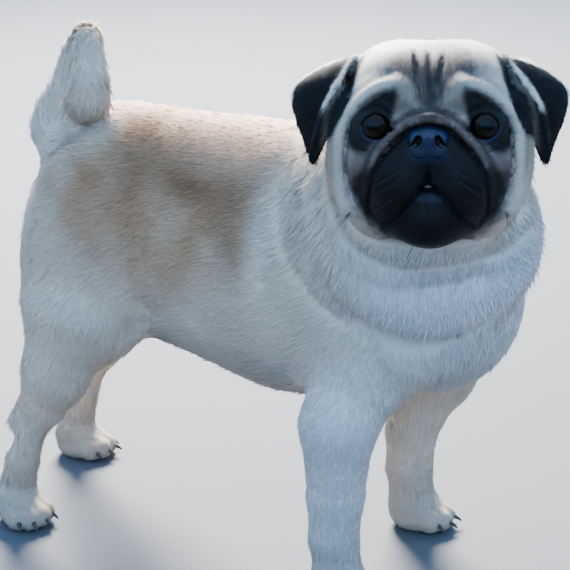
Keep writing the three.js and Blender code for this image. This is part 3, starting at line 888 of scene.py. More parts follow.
# Outlines across and up the face
BLACK_MASK = (
    (-36, -14), (-43, -17), (-45.5, -24), (-44, -31), (-40, -38), (-33, -46.5), (-26, -52.5), (-18, -57),
    (-8, -59.7), (1, -60.5), (12, -59), (21, -55), (30.5, -49.5), (38, -43), (42.5, -34), (44.5, -24),
    (43, -16), (37, -13), (31, -13), (26.5, -6.5), (20.2, 1), (13, 8), (7.5, 11), (0, 12), (-8.5, 11),
    (-14, 8), (-21.5, 1), (-28, -6.5), (-32, -13),
)
THUMB_MARK = (
    (-24, 41), (-20, 48), (-13, 53), (-5, 55.5), (5, 57), (14, 56), (22, 51), (25, 43), (21, 36), (14, 33),
    (9.5, 27), (6.5, 15), (-5, 15), (-8, 27), (-11, 34), (-19, 35),
)
# Dark spots of the thumb mark, which also lay painted shade in the forehead's wrinkles: each spot's middle,
# half sizes and how dark it is
THUMB_SPOTS_AND_WRINKLE_SHADE = (
    ((-8.8, 47), (2.6, 7), 0.5),
    ((-8, 40), (2, 4), 0.3),
    ((5, 45), (3.5, 3.5), 0.5),
    ((3, 39), (2.4, 6), 0.6),
    ((-15, 49), (6, 4), 0.35),
    ((15, 52), (7, 3.5), 0.5),
    ((1, 27), (3, 12), 0.5),
)
EYE_PATCH = (
    (48.5, 8), (46, 16), (41, 22), (33, 27.2), (26, 30.5), (19.5, 32), (17.2, 27), (18.5, 19), (20, 12),
    (24, 5), (30, -2), (36, -5.5), (42, -5), (46.5, -1),
)
BESIDE_MASK = ((45, -1), (46.5, -12), (43, -24))


def face_colours(h, base):
    """The face's markings on the coat's base colours, with painted shade in its creases and on the nose
    roll's top, and painted bluish reflections.
    """
    front = step(-2, 12, h[:, 0])
    streaks = 0.6 * ripple(h, 5.5, 3, (1, 0.5, 3)) + 0.6 * ripple(h, 2.6, 4, (1, 0.45, 4))
    ragged = h[:, 1:] + np.outer(ripple(h, 2.4, 14, (1, 0.5, 3)), (0, 1.8))
    thumb = inside_share(ragged, THUMB_MARK, 3.0) * (0.86 + 0.14 * streaks)
    colour = painted(
        base,
        ("#CFC2B2", front * 0.6),
        ("#675D56", front * spot_share(h, (1, 37), (33, 21), 0.5) * (0.8 + 0.16 * streaks)),
        ("#554A43", front * spot_share(h, (1, 43), (26, 10.5), 0.6) * (0.85 + 0.16 * streaks)),
        ("#40362F", front * thumb),
    )
    # The thumb mark's dark hair, and painted shade in the forehead's wrinkles
    for at, half, dark in THUMB_SPOTS_AND_WRINKLE_SHADE:
        colour = tint(colour, "#1B1716", front * spot_share(h, at, half, 0.6) * (dark + 0.2 * streaks))
    colour = tint(colour, "#3B322D", front * spot_share(h, (0.8, 21), (6, 8), 0.5) * (0.6 + 0.2 * streaks))
    for s in SIDES:
        left = h * np.array((1, s, 1))
        q = into_eye(h, s)
        rim = step(2.4, 1.2, np.abs(opening(q, s) - 0.4)) * step(2, -2, q[:, 2]) * step(36, 38, h[:, 0])
        colour = painted(
            colour,
            ("#877665", front * spot_share(left, (14.5, 29), (5.5, 8), 0.5) * (0.75 + 0.14 * streaks)),
            ("#5A483E", front * spot_share(left, (13, 19), (7, 5), 0.5) * 0.75),
            ("#CFC0AE", front * stroke_share(h, EYE_FOLD, 4.5, 3.5, s) * 0.7),
            ("#8A675C", front * stroke_share(h, BESIDE_MASK, 6, 3.5, s) * 0.8),
            ("#5B4942", front * spot_share(left, (39, -13), (7, 12), 0.5) * 0.85),
            ("#A78D6F", spot_share(left, (60, -4), (7.5, 32), 0.6) * 0.7),
            ("#110F0E", front * inside_share(left[:, 1:], EYE_PATCH, 2.8)),
            # Painted bluish reflection on the wet rim of each lower lid
            ("#27324A", rim * 0.4),
        )
    for s in SIDES:
        colour = tint(colour, "#5A4B42", front * stroke_share(h, ROLL, 9.5, 1.6, s) * (0.95 + 0.1 * streaks))
    wobble = h[:, 1:] + np.column_stack([ripple(h, 7, 5), ripple(h, 7, 6)]) * 0.8
    low = np.maximum(step(-12, -24, h[:, 2]), step(31, 37, np.abs(h[:, 1] - MIDDLE)))
    mask = inside_share(wobble, BLACK_MASK, 1.8) * (1 - low) + inside_share(wobble, BLACK_MASK, 4.5) * low
    haze = inside_share(wobble, BLACK_MASK, 10.0) * low
    shade = face_map.at(face_map.shade, h) * (1 - 0.62 * step(9, 22, h[:, 2]))
    return painted(
        colour,
        # Painted shade over the top of the nose roll, where the light would catch it
        ("#1B1A1C", front * spot_share(h, (0.5, 16.8), (9.5, 3.2), 0.6) * 0.65),
        ("#332B27", front * haze * (0.75 + 0.2 * streaks)),
        ("#151110", front * mask),
        # Painted bluish reflection on the short black hair below the nose
        ("#1A2231", front * spot_share(h, (NOSE_Y, -5), (11, 5), 0.3) * 0.8),
        ("#2A2A33", front * spot_share(h, (0.5, -29.6), (7.5, 2.8), 0.4) * 0.8),
        ("#060607", front * shade * 0.85),
    )


# The fawn saddle and its darker core, along the dog and up
SADDLE = (
    (-136, 250), (-109, 274), (-86, 286), (-60, 312), (60, 312), (50, 266), (46, 232), (34, 214), (14, 236),
    (-8, 243), (-30, 240), (-44, 214), (-66, 214), (-92, 228), (-120, 234),
)
SADDLE_DARK = (
    (-72, 262), (-62, 282), (-10, 284), (36, 280), (40, 244), (32, 226), (12, 250), (-34, 256),
)


def coat_colours(p, weight, h):
    """The coat's colours at points, from the parts' shares there."""
    x, y, z = p.T
    torso_share, neck_share, head_share, fore_share, hind_share, tail_share, ear_share = weight.T
    mottle = ripple(p, 38, 11)
    rump = step(-75, -110, x)
    flat = p[:, ::2] + 4 * np.column_stack([mottle, ripple(p, 30, 13)])
    saddle = inside_share(flat, SADDLE, 26.0) * step(50, 34, x + 3 * ripple(p, 6, 15))
    broad = step(1.25, 0.45, np.hypot((x + 34) / 96, (z - 250) / 72)) * step(50, 34, x)
    core = inside_share(flat, SADDLE_DARK, 20.0)
    groin = step(1, 0.3, np.linalg.norm((p - (-38, 0, 158)) / (30, 60, 24), axis=1))
    bib = np.maximum(
        fore_share * step(40, 0, y) * step(205, 120, z),
        (torso_share + neck_share) * step(75, 150, x) * step(275, 225, z),
    )
    hang = tail_share * step(-126, -112, x) * step(334, 312, z)
    base = painted(
        linear("#DECDB8") * np.ones((len(p), 1)),
        ("#C0A88C", 0.3 + 0.14 * mottle),
        ("#B08560", broad * torso_share * (0.7 + 0.1 * mottle)),
        ("#A06D44", saddle * torso_share * (0.62 + 0.08 * mottle - 0.3 * rump)),
        ("#6B4C33", core * torso_share * (0.5 + 0.1 * mottle)),
        ("#C79B79", step(262, 284, z) * step(-60, 10, x) * torso_share * 0.8),
        # Painted shade: greyer and darker low on the body, under the belly
        ("#A2988C", step(180, 140, z) * torso_share * 0.5),
        # Darker hair and painted shade in the hollow of the groin
        ("#5B5148", groin * torso_share * 0.6),
        ("#B9AA94", neck_share * (0.18 + 0.14 * mottle)),
        ("#D9D8D6", bib * 0.65),
        # Painted shade on the lower legs, darker towards the floor
        ("#968A7C", (fore_share + hind_share) * step(70, 20, z) * 0.7),
        ("#E2CFB8", tail_share * step(250, 330, z) * 0.7),
        # The tail's hanging curl: browner hair, with painted shade where it hangs in shade
        ("#B08C72", hang * (0.55 + 0.2 * mottle)),
        # Painted shade in the body's creases
        ("#5E5046", body_creases.at(p.astype(np.float32))[1]),
    )
    colour = base.copy()
    on_head = head_share + ear_share > 0.02
    face = face_colours(h[on_head], base[on_head])
    share = step(0.25, 0.6, (head_share + ear_share)[on_head])
    colour[on_head] = base[on_head] + (face - base[on_head]) * share[:, None]
    for ear in ears:
        close = (ear_share > 0.004) & (h[:, 1] * ear.side > 0)
        if not close.any():
            continue
        near_ear = h[close]
        index = ear.nearest(near_ear)
        across, down = ear.across[index], ear.down[index]
        ragged = 0.02 * ripple(near_ear, 5, 8, (1, 1, 2.5)) + 0.012 * ripple(near_ear, 1.8, 12)
        inward = (near_ear - ear.points[index]) @ unit(np.array((0.5, ear.side, 0.5)))
        aside = np.abs(across - ear.fold_at(down)) / (0.034 - 0.016 * step(0.5, 0.7, down))
        bright = step(1.3, 0.6, aside + 0.22 * ripple(near_ear, 3, 9, (1, 1, 3)))
        ear_colour = painted(
            colour[close],
            # Painted highlight: the leaf painted pale, kept above its black where the folded top catches the
            # light
            ("#EFE6D8", 0.85 * np.ones(len(down))),
            ("#08080B", step(ear.crest[index] - 0.04, ear.crest[index] - 0.01, down + ragged)),
            # Painted highlight along the fold's edge, on the upper leaf
            ("#E8DAC6", bright * step(0.69, 0.6, down)),
            # Painted shade on the leaf's side that faces the head, by its inner rim
            ("#0D0A09", step(0.5, -0.5, inward) * step(0.5, 0.3, across)),
            # Painted bluish reflection along the fold's edge, lower down
            ("#262B36", bright * step(0.6, 0.7, down) * step(0.95, 0.8, down) * 0.8),
        )
        keep = step(0.3, 0.75, ear_share[close])
        colour[close] += (ear_colour - colour[close]) * keep[:, None]
        gap = np.linalg.norm(near_ear - ear.points[index], axis=1)
        # Painted shadow of the ear on the head, beside the leaf's inner rim
        behind = step(12.5, 7, gap) * (1 - keep) * step(-4, 8, near_ear[:, 2]) * step(55, 47, near_ear[:, 2])
        behind = behind * step(0.5, 0.25, across) * step(-5, 4, near_ear[:, 0])
        colour[close] = tint(colour[close], "#0D0A09", behind * 1.6)
    return np.clip(colour, 0.004, 1)


# Lie of the hair


def lie_of_coat(p, weight, h):
    """The way the hair points on each part, blended where parts meet."""
    x, y, z = p.T
    side = np.sign(y) * step(2, 30, np.abs(y))
    chest = step(95, 150, x)
    rump = step(-110, -150, x)
    low = step(175, 140, z)
    on_torso = np.column_stack([
        -(1 - chest) * (1 - 0.5 * rump),
        0.12 * side,
        -0.38 * (1 - low) - 1.1 * chest - 0.9 * rump,
    ])
    on_torso[:, 2] *= 1 - 0.7 * step(262, 285, z)
    core = np.array(NECK_CORE, float)
    along = unit(core[2] - core[0])
    on_neck = -0.7 * along + np.array((0.0, 0.0, -0.75)) + np.column_stack([0 * x, 0.2 * side, 0 * x])
    # On the face the hair fans out from the nose
    away = h - np.array((40, -1, 4))
    away[:, 0] -= 14
    away[:, 2] -= 10 * step(0, -20, h[:, 2])
    on_head = unit(away) @ HEAD_AXES.T
    foot_share = step(26, 10, z)
    on_fore = np.column_stack([-0.18 + 1.2 * foot_share, 0 * x, -1 + 0.5 * foot_share])
    on_hind = np.column_stack([-0.55 * step(60, 120, z) + 1.1 * foot_share, 0 * x, -1 + 0.5 * foot_share])
    path, _ = even_path(TAIL_PATH, 3)
    tangents = unit(np.gradient(path, axis=0))
    on_tail, on_ear = np.zeros((2, len(p), 3))
    near_tail = weight[:, 5] > 0.01
    gap = ((p[near_tail, None] - path[None]) ** 2).sum(-1)
    on_tail[near_tail] = tangents[gap.argmin(1)]
    for ear in ears:
        close = (weight[:, 6] > 0.01) & (h[:, 1] * ear.side > 0)
        if close.any():
            on_ear[close] = ear.lie[ear.nearest(h[close])] @ HEAD_AXES.T
    ways = [unit(on_torso), unit(on_neck), on_head, unit(on_fore), unit(on_hind), on_tail, on_ear]
    lie = sum(weight[:, k, None] * way for k, way in enumerate(ways))
    swirl = np.column_stack([ripple(p, 30, 20 + k) for k in range(3)]) * 0.14
    return lie + swirl


# Coat length and width on each part, in millimetres
HAIR_LENGTH = np.float32((8, 9.5, 5.5, 6, 7.5, 9.0, 3.0))
HAIR_WIDTH = np.float32((0.62, 0.66, 0.55, 0.6, 0.62, 0.6, 0.42))


def hair_sizes(p, weight, h):
    """Length and width of the tufts at points, and how thickly they stand there."""
    length, width = weight @ HAIR_LENGTH, weight @ HAIR_WIDTH
    face = face_share(h) * weight[:, 2]
    length = length * (1 - 0.66 * face)
    width = width * (1 - 0.4 * face)
    near_features = np.ones(len(p))
    for s in SIDES:
        gap = np.linalg.norm(h - eye_centre(s), axis=1)
        near_features *= step(12.6, 15.5, gap)
    nose_gap = np.linalg.norm((h - (NOSE_X, NOSE_Y, NOSE_Z)) / (1, 1.1, 1), axis=1)
    near_features *= step(10.5, 13.5, nose_gap)
    paws = (weight[:, 3] + weight[:, 4]) * step(40, 12, p[:, 2])
    length = length * (1 - 0.5 * paws) * (0.45 + 0.55 * near_features)
    width = width * (1 - 0.3 * paws)
    near_features *= 1 - 0.9 * face * face_map.at(face_map.shade, h)
    sole = step(1.0, 4.0, p[:, 2])
    return length, width, near_features * sole


# Meshes


def feed(tree, target, inputs):
    """Sets a node's inputs; each is a value or the socket that feeds it."""
    for name, value in inputs.items():
        if isinstance(value, bpy.types.NodeSocket):
            tree.links.new(value, target.inputs[name])
        else:
            target.inputs[name].default_value = value


def node(tree, kind, settings=None, inputs=None):
    """Adds a node with its settings and inputs."""
    new = tree.nodes.new(kind)
    for name, value in (settings or {}).items():
        setattr(new, name, value)
    feed(tree, new, inputs or {})
    return new


def material(name, inputs):
    """A material whose shader has these inputs, and its node tree."""
    made = bpy.data.materials.new(name)
    made.use_nodes = True
    feed(made.node_tree, made.node_tree.nodes["Principled BSDF"], inputs)
    return made, made.node_tree


def finish_surface(tree, inputs):
    """Sets more inputs of a material's shader, once what feeds them is made."""
    feed(tree, tree.nodes["Principled BSDF"], inputs)


def paint_markings_and_light(tree):
    """Takes the shader's colour from the piece's painted markings and its painted light and shade."""
    marks = node(tree, "ShaderNodeAttribute", {"attribute_name": "Markings_and_painted_light"})
    finish_surface(tree, {"Base Color": marks.outputs["Color"]})


def solid(colour):
    """A shader's colour from an sRGB hex colour."""
    return (*linear(colour), 1)


def make_mesh(name, points, faces, made=None):
    """A smooth-shaded mesh object from arrays of points and equal faces."""
    mesh = bpy.data.meshes.new(name)
    faces = np.asarray(faces, np.int32)
    mesh.vertices.add(len(points))
    mesh.vertices.foreach_set("co", np.asarray(points, np.float32).ravel())
    mesh.loops.add(faces.size)
    mesh.loops.foreach_set("vertex_index", faces.ravel())
    mesh.polygons.add(len(faces))
    mesh.polygons.foreach_set("loop_start", np.arange(0, faces.size, faces.shape[1], dtype=np.int32))
    mesh.update(calc_edges=True)
    mesh.shade_smooth()
    if made:
        mesh.materials.append(made)
    piece = bpy.data.objects.new(name, mesh)
    bpy.context.scene.collection.objects.link(piece)
    return piece


# Each kind of attribute: the name of its values, how many each point has and their number type
ATTRIBUTES = {
    "FLOAT": ("value", 1, np.float32),
    "INT": ("value", 1, np.int32),
    "FLOAT_VECTOR": ("vector", 3, np.float32),
    "FLOAT_COLOR": ("color", 4, np.float32),
}


def store(mesh, name, kind, values):
    """Keeps values at a mesh's points; colours get full opacity."""
    key, _, number = ATTRIBUTES[kind]
    if kind == "FLOAT_COLOR":
        values = np.column_stack([values, np.ones(len(values))])
    mesh.attributes.new(name, kind, "POINT").data.foreach_set(key, np.asarray(values, number).ravel())


def stored(mesh, name):
    """Values kept at a mesh's points."""
    attribute = mesh.attributes[name]
    key, width, number = ATTRIBUTES[attribute.data_type]
    values = np.empty(len(mesh.vertices) * width, number)
    attribute.data.foreach_get(key, values)
    return values.reshape(-1, width) if width > 1 else values


def ride_root(piece, slot, *nodes):
    """Says what the piece rides on and hides the solids it stands for; its material slot is not used."""
    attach(piece, "root")
    if nodes:
        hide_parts(*nodes)
    return piece


def fur_material(name, roughness, sheen):
    """Short hair: a matt keratin fibre with a soft glint where it turns to the light."""
    made, tree = material(name, {
        "Roughness": roughness,
        "Specular IOR Level": 0.12,
        "IOR": 1.55,
        "Sheen Weight": sheen,
        "Sheen Roughness": 0.5,
    })
    paint_markings_and_light(tree)
    return made, tree


class SkinSettings(bpy.types.PropertyGroup):
    """Sizes of the skin's mesh."""

    spacing: bpy.props.FloatProperty(
        name="Net spacing", description="Distance between the skin's points on the body",
        default=0.0034, min=0.002, max=0.01, unit="LENGTH",
    )


class CoatSettings(bpy.types.PropertyGroup):
    """Number and look of the coat's tufts."""

    tufts: bpy.props.IntProperty(
        name="Tufts", description="Tufts over the whole dog", default=350000, min=1000, max=400000,
    )
    stray: bpy.props.FloatProperty(
        name="Stray share", description="Share of longer hairs that stand out of the coat",
        default=0.05, min=0, max=0.5, subtype="FACTOR",
    )
    roughness: bpy.props.FloatProperty(
        name="Hair roughness", description="Roughness of the hairs", default=0.55, min=0, max=1,
        subtype="FACTOR",
    )


class FaceSettings(bpy.types.PropertyGroup):
    """Sizes and colours of the eyes, nose and whiskers."""

    iris: bpy.props.FloatVectorProperty(
        name="Iris colour", description="Colour of the irises, in linear light",
        default=tuple(linear("#261B11")), size=3, min=0, max=1, subtype="COLOR",
    )
    # Blue-black: black leather tinted blue as a painted reflection of the blue light over it
    nose: bpy.props.FloatVectorProperty(
        name="Nose colour", description="Colour of the nose leather, in linear light",
        default=tuple(linear("#141C30")), size=3, min=0, max=1, subtype="COLOR",
    )
    whisker_length: bpy.props.FloatProperty(
        name="Whisker length", description="Length of the longest whiskers", default=0.02,
        min=0.005, max=0.06, unit="LENGTH",
    )


class StageSettings(bpy.types.PropertyGroup):
    """Camera and lights."""

    azimuth: bpy.props.FloatProperty(
        name="Azimuth", description="Camera's angle round the dog", default=math.radians(27),
        subtype="ANGLE",
    )
    elevation: bpy.props.FloatProperty(
        name="Elevation", description="Camera's angle above the floor", default=math.radians(18.5),
        subtype="ANGLE",
    )
    distance: bpy.props.FloatProperty(
        name="Distance", description="Camera to the point it looks at", default=1.15, unit="LENGTH",
    )
    key_power: bpy.props.FloatProperty(
        name="Key light", description="Power of the soft light above and behind the dog",
        default=1000, min=0, subtype="POWER",
    )
    fill_power: bpy.props.FloatProperty(
        name="Fill light", description="Power of the large light above the camera", default=30,
        min=0, subtype="POWER",
    )


def around_share(p, centre_line):
    """Angle about a line and place along it, both from 0 to 1: an unwrap of the skin's own shape."""
    line = np.asarray(centre_line, float)
    starts, ends = line[:-1], line[1:]
    lengths = np.linalg.norm(ends - starts, axis=1)
    run = np.concatenate([[0], np.cumsum(lengths)])
    best = np.full(len(p), 1e12)
    place = np.zeros(len(p))
    angle = np.zeros(len(p))
    for k, (a, b) in enumerate(zip(starts, ends)):
        along = (b - a) / lengths[k]
        t = (p - a) @ along
        if k > 0:
            t = np.maximum(t, 0)
        if k < len(starts) - 1:
            t = np.minimum(t, lengths[k])
        q = p - a - t[:, None] * along
        gap = (q**2).sum(1)
        across = unit(np.cross((0.3, 0.2, 1.0) if abs(along[2]) < 0.9 else (1.0, 0.2, 0.0), along))
        up = np.cross(along, across)
        turn = np.arctan2(q @ up, q @ across) / (2 * np.pi) + 0.5
        closer = gap < best
        best = np.where(closer, gap, best)
        place = np.where(closer, run[k] + t, place)
        angle = np.where(closer, turn, angle)
    low, high = place.min(), place.max()
    return np.column_stack([0.01 + 0.98 * angle, 0.01 + 0.98 * (place - low) / max(high - low, 1e-6)])


class PUG_OT_skin(bpy.types.Operator):
    """Builds the skin in one piece, with its folds, lids, lips and toes, and paints its markings along with
    painted shade and highlights
    """

    bl_idname = "pug.skin"
    bl_label = "Skin"

    def execute(self, context):
        spacing = context.scene.pug_skin.spacing * MM
        # The first net has fuller ears, so that it doesn't miss their thin leaves
        points, faces = net(lambda p: skin_field(p, 1.3), (-206, -122, -4), (232, 104, 378), spacing)
        for where in (self.head_and_feet, self.features):
            points, faces = refine(points, faces, where(points))
            points = settle(skin_field, points)
        old = len(points)
        points, faces = refine(points, faces, self.lids(points))
        points[old:] = settle(skin_field, points[old:])
        normals = unit(slopes(skin_field, points, skin_field(points)))
        weight = shares(flesh_parts(points.astype(np.float32)))
        h = into_head(points)
        length, width, cover = hair_sizes(points, weight, h)
        # Skin clothed in under-hair too short to comb, which breaks the light up like fine felt
        made, tree = fur_material("Skin under short hair", 0.6, 0.02)
        grain = node(tree, "ShaderNodeTexNoise", inputs={"Scale": 900.0, "Detail": 3.0, "Roughness": 0.6})
        relief = {"Strength": 0.25, "Distance": 0.0004, "Height": grain.outputs["Fac"]}
        bump = node(tree, "ShaderNodeBump", inputs=relief)
        finish_surface(tree, {"Normal": bump.outputs["Normal"]})
        skin = make_mesh("skin", in_frame(points), faces, made)
        for name, kind, values in (
            ("Markings_and_painted_light", "FLOAT_COLOR", coat_colours(points, weight, h)),
            ("Lie", "FLOAT_VECTOR", lie_of_coat(points, weight, h)),
            ("Out", "FLOAT_VECTOR", normals),
            ("Length", "FLOAT", length),
            ("Width", "FLOAT", width),
            ("Cover", "FLOAT", cover),
            ("Part", "INT", weight.argmax(1)),
        ):
            store(skin.data, name, kind, values)
        flesh = ["torso", "neck", "head", "tail", "ear_left", "ear_right"]
        flesh += [f"leg_{end}_{side}" for end in ("fore", "hind") for side in ("left", "right")]
        ride_root(skin, "coat", *flesh)
        return {"FINISHED"}

    def head_and_feet(self, points):
        """Where the skin's net is halved first."""
        h = into_head(points)
        on_head = (np.linalg.norm(h / (1, 1.25, 1.05), axis=1) < 72) & (h[:, 0] > -12)
        on_ears = ear_field(points.astype(np.float32)) < 3
        return on_head | on_ears | (points[:, 2] < 26)

    def features(self, points):
        """Where it is halved again, for the folds, lips and lids."""
        h = into_head(points)
        return (h[:, 0] > 22) & (np.abs(h[:, 1]) < 46) & (h[:, 2] < 46) & (h[:, 2] > -54)

    def lids(self, points):
        """Where it is halved a third time, round the lids' edges."""
        h = into_head(points)
        edge = np.min([np.abs(opening(into_eye(h, s), s) - 0.6) for s in SIDES], 0)
        return (h[:, 0] > 20) & (edge < 3.2)


# Share of the tufts that each part gets, and the line its unwrap turns about
PART_TUFTS = {
    "torso": 0.28, "neck": 0.14, "head": 0.235, "fore": 0.085, "hind": 0.135, "tail": 0.07, "ear": 0.055,
}
UNWRAP_LINES = {
    "torso": ((-160, 0, 215), (180, 5, 200)),
    "neck": ((80, 8, 220), (118, -6, 252), (150, -40, 300)),
    "tail": TAIL_PATH,
}
# The most tufts in one piece, which keeps it under 200,000 faces
PIECE_TUFTS = 49000
# A tuft is a thin dart of four faces: its root, two middle corners and its tip
TUFT_FACES = np.array([(0, 2, 1), (3, 1, 2), (0, 1, 3), (0, 3, 2)])
# How bright the hair is at each corner, and where the corners lie about the tuft's place in the unwrap
TUFT_TONES = np.array((0.85, 0.97, 0.97, 1.07))
TUFT_PATCH = np.array(((0, -1), (-1, 0), (1, 0), (0, 1))) * 0.0015
ROOT_DEPTH, MIDDLE_AT, TIP_LIFT, LOWEST = 0.15, 0.42, 0.3, 0.2
STRAY_LENGTH, STRAY_WIDTH, STRAY_RISE, TAIL_RISE = 1.35, 0.55, 2, 1.2


class PUG_OT_coat(bpy.types.Operator):
    """Grows the coat: closed tufts that follow the lie of the hair, rooted in the skin"""

    bl_idname = "pug.coat"
    bl_label = "Coat"

    def execute(self, context):
        settings = context.scene.pug_coat
        mesh = bpy.data.objects["skin"].data
        points = np.empty(len(mesh.vertices) * 3, np.float32)
        mesh.vertices.foreach_get("co", points)
        points = points.reshape(-1, 3) * MM - ORIGIN
        faces = np.empty(len(mesh.polygons) * 3, np.int32)
        mesh.loops.foreach_get("vertex_index", faces)
        faces = faces.reshape(-1, 3)
        fields = {
            "out": stored(mesh, "Out"),
            "lie": stored(mesh, "Lie"),
            "colour": stored(mesh, "Markings_and_painted_light")[:, :3],
            "size": np.column_stack([stored(mesh, name) for name in ("Length", "Width", "Cover")]),
        }
        a, b, c = (points[faces[:, k]] for k in range(3))
        area = np.linalg.norm(np.cross(b - a, c - a), axis=1) / 2
        face_part = stored(mesh, "Part")[faces[:, 0]]
        made, _ = fur_material("Short hair, lying flat", settings.roughness, 0.03)
        total = settings.tufts // 1
        rng = np.random.default_rng(7)
        for number, name in enumerate(PARTS):
            chosen = np.nonzero(face_part == number)[0]
            weight = area[chosen] * fields["size"][faces[chosen], 2].mean(1)
            if name == "head":
                front = step(0, 25, into_head(points[faces[chosen, 0]])[:, 0])
                weight = weight * (1 + 1.6 * front)
            count = int(total * PART_TUFTS[name])
            run = np.cumsum(weight) / weight.sum()
            picks = (np.arange(count) + rng.uniform(0, 1, count)) / count
            face = chosen[np.searchsorted(run, picks).clip(0, len(chosen) - 1)]
            a, b = rng.uniform(0, 1, (2, count))
            fold = a + b > 1
            a, b = np.where(fold, 1 - a, a), np.where(fold, 1 - b, b)
            mix = np.stack([1 - a - b, a, b], 1)[..., None].astype(np.float32)
            tri = faces[face]
            root = (points[tri] * mix).sum(1)
            at = {key: (value[tri] * mix).sum(1) for key, value in fields.items()}
            # A part too big for one piece is cut across its own middle
            order = np.argsort((into_head(root) if name == "head" else root)[:, 1])
            pieces = max(1, math.ceil(count / PIECE_TUFTS))
            for k in range(pieces):
                rows = order[k * count // pieces : (k + 1) * count // pieces]
                label = f"coat_{name}" + (f"_{k + 1}" if pieces > 1 else "")
                grown = {key: value[rows] for key, value in at.items()}
                self.grow(label, name, root[rows], grown, made, settings, rng)
        return {"FINISHED"}

    def grow(self, label, name, root, at, made, settings, rng):
        """One piece of tufts, bent back along the lie of the hair and a little unequal."""
        count = len(root)
        out = unit(at["out"])
        lie = at["lie"] + rng.normal(0, 0.13, (count, 3))
        lie = unit(lie - (lie * out).sum(1, keepdims=True) * out)
        across = np.cross(out, lie)
        length, width = at["size"][:, 0], at["size"][:, 1]
        stray = rng.uniform(0, 1, count) < settings.stray
        length = length * rng.uniform(0.75, 1.2, count) * np.where(stray, STRAY_LENGTH, 1)
        width = width * rng.uniform(0.75, 1.25, count) * np.where(stray, STRAY_WIDTH, 1)
        rise = rng.uniform(0.04, 0.12, count) * np.where(stray, STRAY_RISE, 1)
        rise = rise * (TAIL_RISE if name == "tail" else 1)
        base = root - out * ROOT_DEPTH
        sway = rng.normal(0, 0.06, count) * length
        mid = root + lie * (length * MIDDLE_AT)[:, None] + out * (rise * length * 0.2 - 0.03)[:, None]
        tip = root + lie * length[:, None] + out * (TIP_LIFT + rise * length)[:, None]
        tip = tip + across * sway[:, None]
        for corner in (mid, tip):
            corner[:, 2] = np.maximum(corner[:, 2], LOWEST)
        half = (width / 2)[:, None]
        corners = np.stack([base, mid - across * half, mid + across * half, tip], 1)
        faces = (np.arange(count)[:, None, None] * 4 + TUFT_FACES).reshape(-1, 3)
        piece = make_mesh(label, in_frame(corners.reshape(-1, 3)), faces, made)
        # The light falls on a tuft as on one rounded lock
        aside, ahead = 0.45 * across, 0.25 * lie
        normals = unit(np.stack([out, out - aside, out + aside, out + ahead], 1).reshape(-1, 3))
        piece.data.normals_split_custom_set_from_vertices(normals.astype(np.float32))
        shade = rng.normal(1, 0.06, (count, 1)).clip(0.8, 1.25)
        colour = at["colour"] * shade
        paint = (colour[:, None, :] * TUFT_TONES[None, :, None]).reshape(-1, 3)
        store(piece.data, "Markings_and_painted_light", "FLOAT_COLOR", np.clip(paint, 0, 1))
        flat = (self.unwrap(name, root)[:, None] + TUFT_PATCH[None]).reshape(-1, 2).astype(np.float32)
        layer = piece.data.uv_layers.new(name="OFBake")
        layer.data.foreach_set("uv", flat[faces.ravel()].ravel())
        ride_root(piece, "ear_velvet" if name == "ear" else "coat")

    def unwrap(self, name, root):
        """Each root's place on its part, opened out flat."""
        if name in UNWRAP_LINES:
            return around_share(root, UNWRAP_LINES[name])
        if name == "head":
            return around_share(into_head(root), ((0, -60, 0), (0, 60, 0)))
        flat = np.empty((len(root), 2))
        if name == "ear":
            h = into_head(root)
            for k, ear in enumerate(ears):
                mine = h[:, 1] * ear.side > 0
                index = ear.nearest(h[mine])
                back = ((h[mine] - ear.points[index]) * ear.normal[index]).sum(1) > 0
                flat[mine] = np.column_stack([
                    0.02 + 0.22 * ear.across[index] + 0.25 * back + 0.5 * k,
                    0.02 + 0.95 * ear.down[index],
                ])
            return flat
        for k, s in enumerate(SIDES):
            mine = root[:, 1] * s > 0
            if name == "fore":
                line = ((112, s * 46, 210), (100, s * FORE_TRACK, 120), (FORE_X, s * FORE_TRACK, 0))
            else:
                x = hind_x(s)
                line = ((-100, s * 44, 240), (x + 42, s * HIND_TRACK, 118), (x, s * HIND_TRACK, 0))
            flat[mine] = around_share(root[mine], line) * (0.49, 1) + (0.5 * k, 0)
        return flat


CORNEA_HEIGHT, CORNEA_HALF_ANGLE = 0.55, math.radians(30)
EYE_TURN, EYE_LIFT = 1, 4


